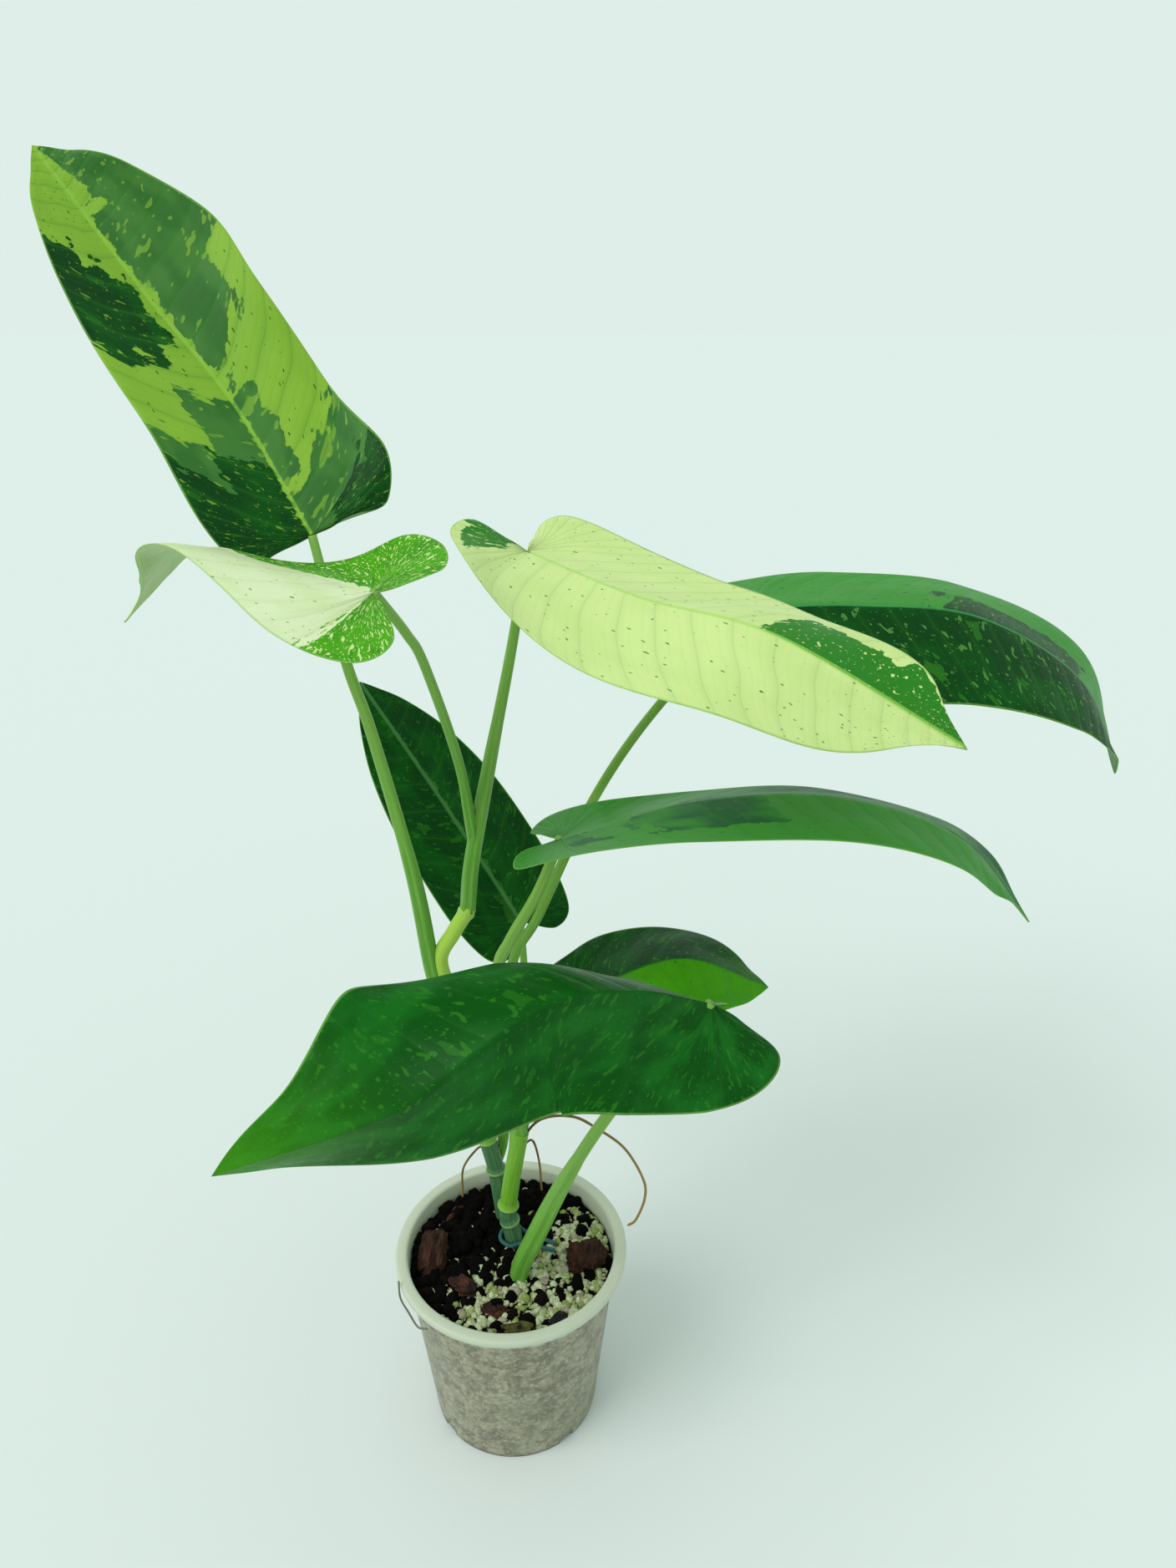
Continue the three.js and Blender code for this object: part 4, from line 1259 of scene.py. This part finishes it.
class FoliageSettings(bpy.types.PropertyGroup):
    """Sizes and colours of the blades and stems."""

    blade_thickness: length_setting("Blade thickness", 0.8, "Thickness of a blade")
    vein_spacing: length_setting("Vein spacing", 7, "Gap between side veins")
    yellow_green: colour_setting("Yellow green", "#86B038", "Pale sectors of the top leaf")
    lime: colour_setting("Lime", "#C9DB8F", "The front leaf's pale blade")
    cream: colour_setting("Cream", "#D5DEB5", "The cream leaf's blade")
    yellow_shade: colour_setting("Yellow shade", "#76A230", "The shift of tone in yellow green sectors")
    lime_shade: colour_setting("Lime shade", "#B9D07C", "The shift of tone in lime sectors")
    far_green: colour_setting("Far green", "#338A22", "The far half of the right leaf")
    spring_green: colour_setting("Spring green", "#358510", "The shift of tone in the cream leaf's lobes")
    front_shade: colour_setting("Front shade", "#14691A", "The shift of tone in the front leaf")
    front_green: colour_setting("Front green", "#054C0B", "The front leaf's blade")
    middle_green: colour_setting("Middle green", "#3B8A2C", "The near half of the middle leaf")
    back_green: colour_setting("Back green", "#245A1A", "The lighter middle of the back leaf")
    dark_grey: colour_setting("Dark grey green", "#1C5A2C", "The far half of the middle leaf")
    fresh_green: colour_setting("Fresh green", "#4A9C12", "Bright sectors")
    mid_green: colour_setting("Mid green", "#2E7A1C", "Lighter halves of dark leaves")
    leaf_green: colour_setting("Leaf green", "#2A7A20", "Sector at the lime leaf's tip")
    grey_green: colour_setting("Grey green", "#356A2C", "Half-pale sectors")
    mid_shade: colour_setting("Mid shade", "#4C8238", "The shift of tone in half-pale sectors")
    deep_green: colour_setting("Deep green", "#043C0E", "Dark sectors")
    dark_shade: colour_setting("Dark shade", "#07500F", "The shift of tone in dark sectors")
    vein: colour_setting("Side vein", "#2F7A1E", "The fine lines of the side veins")
    # The margin line is a painted highlight.
    margin: colour_setting("Margin", "#8CBF58", "The thin line at a blade's edge")
    under_face: colour_setting("Under face", "#7FB05A", "The blades' under face")
    petiole_low: colour_setting("Petiole foot", "#5E9A34", "The petioles near the cane")
    petiole_high: colour_setting("Petiole head", "#7BAA48", "The petioles near the blade")
    stem_fleck: colour_setting("Stem streak", "#9CC46A", "Streaks and collars on the stems")
    shoot_green: colour_setting("Shoot", "#A8CC4C", "The upper shoot")
    cane_low: colour_setting("Cane foot", "#44704E", "The canes near the mix")
    cane_high: colour_setting("Cane head", "#6CA428", "The canes near the leaves")
    root_brown: colour_setting("Root", "#5E4A2A", "Aerial roots")
    root_grey: colour_setting("Dry root", "#6F7466", "The thin dry root over the lip")
    root_tan: colour_setting("Root tip", "#9C824C", "The dry end of an aerial root")
    tie_teal: colour_setting("Tie", "#2E5E5E", "The soft plant tie")
    tie_worn: colour_setting("Tie, worn", "#4C7C7A", "The tie where it is scuffed")


class PotSettings(bpy.types.PropertyGroup):
    """Colours of the pot and what fills it."""

    pot_plastic: colour_setting("Pot plastic", "#C2C8B4", "The wall and lip above the mix")
    wall_light: colour_setting("Wall, light", "#9C9882", "Mix seen through the wall, light lumps")
    wall_pale: colour_setting("Wall, pale", "#C2C1AD", "Mix seen through the wall, grains")
    wall_green: colour_setting("Wall, stained", "#848970", "Algae on the mix behind the wall")
    # The same colour is also painted shade along the pot's foot.
    wall_dark: colour_setting("Wall, dark", "#5A5445", "Mix seen through the wall, dark lumps")
    peat: colour_setting("Peat", "#050403", "Damp peat")
    peat_brown: colour_setting("Peat fibre", "#1A100A", "Drier peat")
    stone_green: colour_setting("Green stone", "#8FA052", "Algae-stained pumice")
    stone_pale: colour_setting("Pale stone", "#C6CCA6", "Clean pumice")
    stone_tan: colour_setting("Tan stone", "#C9BFA4", "Clay grit")
    coco_dark: colour_setting("Coco, dark", "#1C0F09", "Coco husk in shade")
    coco_light: colour_setting("Coco, light", "#4E2C1B", "Coco fibre")
    bark_red: colour_setting("Bark", "#5E3022", "Pine bark flakes")
    char_grey: colour_setting("Charcoal", "#2A2624", "The charcoal chip's faces")
    moss: colour_setting("Moss", "#5B5A2C", "Mossy bark")


class StageSettings(bpy.types.PropertyGroup):
    """The floor and the light."""

    floor: colour_setting("Floor", "#DBE0DE", "The plain pale floor")
    surround: colour_setting("Surround", "#DFEEE9", "Soft light from all round")
    window_power: bpy.props.FloatProperty(
        name="Window", description="Strength of the soft main light", default=1.25, min=0
    )
    window_softness: bpy.props.FloatProperty(
        name="Softness",
        description="How wide the main light looks",
        default=math.radians(35),
        subtype="ANGLE",
    )


# ---------------------------------------------------------------- operators


class PHILO_OT_blades(bpy.types.Operator):
    """Makes the eight blades."""

    bl_idname = "philo.blades"
    bl_label = "Blades"

    def execute(self, context):
        for key, leaf in LEAVES.items():
            make_blade(key, leaf, context.scene.philo_foliage)
        return {"FINISHED"}


class PHILO_OT_stems(bpy.types.Operator):
    """Makes the canes and the petioles."""

    bl_idname = "philo.stems"
    bl_label = "Canes and petioles"

    def execute(self, context):
        settings = context.scene.philo_foliage
        for key, cane in CANES.items():
            make_cane(key, cane, settings)
        for key, leaf in LEAVES.items():
            make_petiole(key, leaf, settings)
        return {"FINISHED"}


class PHILO_OT_roots(bpy.types.Operator):
    """Makes the aerial roots."""

    bl_idname = "philo.roots"
    bl_label = "Aerial roots"

    def execute(self, context):
        settings = context.scene.philo_foliage
        # Roots are corky and matt, brown at the foot and tan at the dry end, and one is grey.
        brown, grey, tan = settings.root_brown, settings.root_grey, settings.root_tan
        corky = stem_material("corky_root", brown, tan, tan, roughness=0.6)
        dry = stem_material("dry_root", grey, grey, tan, roughness=0.6)
        for name, (points, radius) in root_routes().items():
            skin = dry if name == "root_thin_left" else corky
            make_cord(name, points, radius, skin)
        return {"FINISHED"}


class PHILO_OT_tie(bpy.types.Operator):
    """Makes the soft tie round the front cane's foot."""

    bl_idname = "philo.tie"
    bl_label = "Plant tie"

    def execute(self, context):
        settings = context.scene.philo_foliage
        radius = TIE_RADIUS
        around = CANES["cane_front"]["radius"][0] + 1.2 + radius
        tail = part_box("plant_tie")[1].x / MM - radius
        turns = [polar(b, around, 6) for b in (20, 80, 140, 200, 260, 310)]
        loop = [(x + 0.5, y + 9, z) for x, y, z in turns]
        points = [(tail, 1 + 4 * radius, 4), *loop, (tail, 1, 4)]
        # Soft extruded PVC: an even teal, scuffed lighter along its length.
        teal, worn = settings.tie_teal, settings.tie_worn
        soft = stem_material("soft_pvc_tie", teal, teal, worn, roughness=0.5)
        make_cord("plant_tie", add_up(points), radius, soft, knots=0.04)
        return {"FINISHED"}


class PHILO_OT_pot(bpy.types.Operator):
    """Makes the nursery pot."""

    bl_idname = "philo.pot"
    bl_label = "Nursery pot"

    def execute(self, context):
        make_pot(context.scene.philo_pot)
        return {"FINISHED"}


class PHILO_OT_mix(bpy.types.Operator):
    """Makes the potting mix and the chunks bedded in it."""

    bl_idname = "philo.mix"
    bl_label = "Potting mix"

    def execute(self, context):
        settings = context.scene.philo_pot
        make_mix(settings)
        # Fibres and flakes across each axis, in a metre.
        fibres = (500.0, 90.0, 500.0)
        flakes = (120.0, 60.0, 700.0)
        finishes = {
            "coco": ("coco_husk", "coco_dark", "coco_light", "peat", fibres, 0.75),
            "bark": ("pine_bark", "coco_dark", "bark_red", "peat", flakes, 0.65),
            "moss": ("mossy_bark", "coco_dark", "moss", "stone_green", flakes, 0.8),
            "char": ("charcoal", "peat", "char_grey", "char_grey", flakes, 0.5),
        }
        materials = {kind: chunk_material(settings, *finish) for kind, finish in finishes.items()}
        for name, chunk in CHUNKS.items():
            make_chunk(name, chunk, materials)
        return {"FINISHED"}


# Matt background paper, pulp pressed smooth: the eye gets an even pale field with no shine.
def paper_material(settings):
    material, tree = new_material("matt_paper_floor")
    shader = add_node(
        tree,
        "ShaderNodeBsdfPrincipled",
        {"Base Color": settings.floor, "Roughness": 0.9, "Specular IOR Level": 0.0},
    )
    add_node(tree, "ShaderNodeOutputMaterial", {"Surface": shader})
    return material


class PHILO_OT_stage(bpy.types.Operator):
    """Makes the floor, the light and the camera."""

    bl_idname = "philo.stage"
    bl_label = "Stage"

    def execute(self, context):
        settings = context.scene.philo_stage
        scene = context.scene
        mesh = bpy.data.meshes.new("floor")
        half = FLOOR_HALF * MM
        corners = [(x * half, y * half, 0) for x, y in ((-1, -1), (1, -1), (1, 1), (-1, 1))]
        mesh.from_pydata(corners, [], [(0, 1, 2, 3)])
        floor = bpy.data.objects.new("floor", mesh)
        scene.collection.objects.link(floor)
        mesh.materials.append(paper_material(settings))
        world = bpy.data.worlds.new("soft_surround")
        scene.world = world
        world.use_nodes = True
        surround = world.node_tree.nodes["Background"].inputs
        surround["Color"].default_value = settings.surround
        surround["Strength"].default_value = 1.0
        scene.view_settings.view_transform = "Standard"
        data = bpy.data.lights.new("window", "SUN")
        data.energy = settings.window_power
        data.angle = settings.window_softness
        window = bpy.data.objects.new("window", data)
        window.rotation_euler = Vector(WINDOW_SIDE).to_track_quat("Z", "Y").to_euler()
        scene.collection.objects.link(window)
        data = bpy.data.cameras.new("camera")
        data.sensor_width = SENSOR_WIDTH
        data.lens = LENS
        camera = bpy.data.objects.new("camera", data)
        camera.location = Vector(CAMERA_PLACE) * MM
        camera.rotation_euler = (math.radians(CAMERA_TILT), 0, 0)
        scene.collection.objects.link(camera)
        scene.camera = camera
        return {"FINISHED"}


class PHILO_PT_panel(bpy.types.Panel):
    """Lists the steps that build the plant."""

    bl_idname = "PHILO_PT_panel"
    bl_label = "Potted philodendron"
    bl_space_type = "VIEW_3D"
    bl_region_type = "UI"
    bl_category = "Philodendron"

    def draw(self, context):
        for step in STEPS:
            self.layout.operator(step.bl_idname)


STEPS = (
    PHILO_OT_pot,
    PHILO_OT_mix,
    PHILO_OT_stems,
    PHILO_OT_blades,
    PHILO_OT_roots,
    PHILO_OT_tie,
    PHILO_OT_stage,
)
CLASSES = (FoliageSettings, PotSettings, StageSettings, *STEPS, PHILO_PT_panel)
SETTINGS = {"philo_foliage": FoliageSettings, "philo_pot": PotSettings, "philo_stage": StageSettings}


def register():
    for cls in CLASSES:
        bpy.utils.register_class(cls)
    for name, cls in SETTINGS.items():
        setattr(bpy.types.Scene, name, bpy.props.PointerProperty(type=cls))


def unregister():
    for name in SETTINGS:
        delattr(bpy.types.Scene, name)
    for cls in reversed(CLASSES):
        bpy.utils.unregister_class(cls)


def main():
    register()
    for step in STEPS:
        getattr(bpy.ops.philo, step.bl_idname.split(".")[1])()


if __name__ == "__main__":
    main()
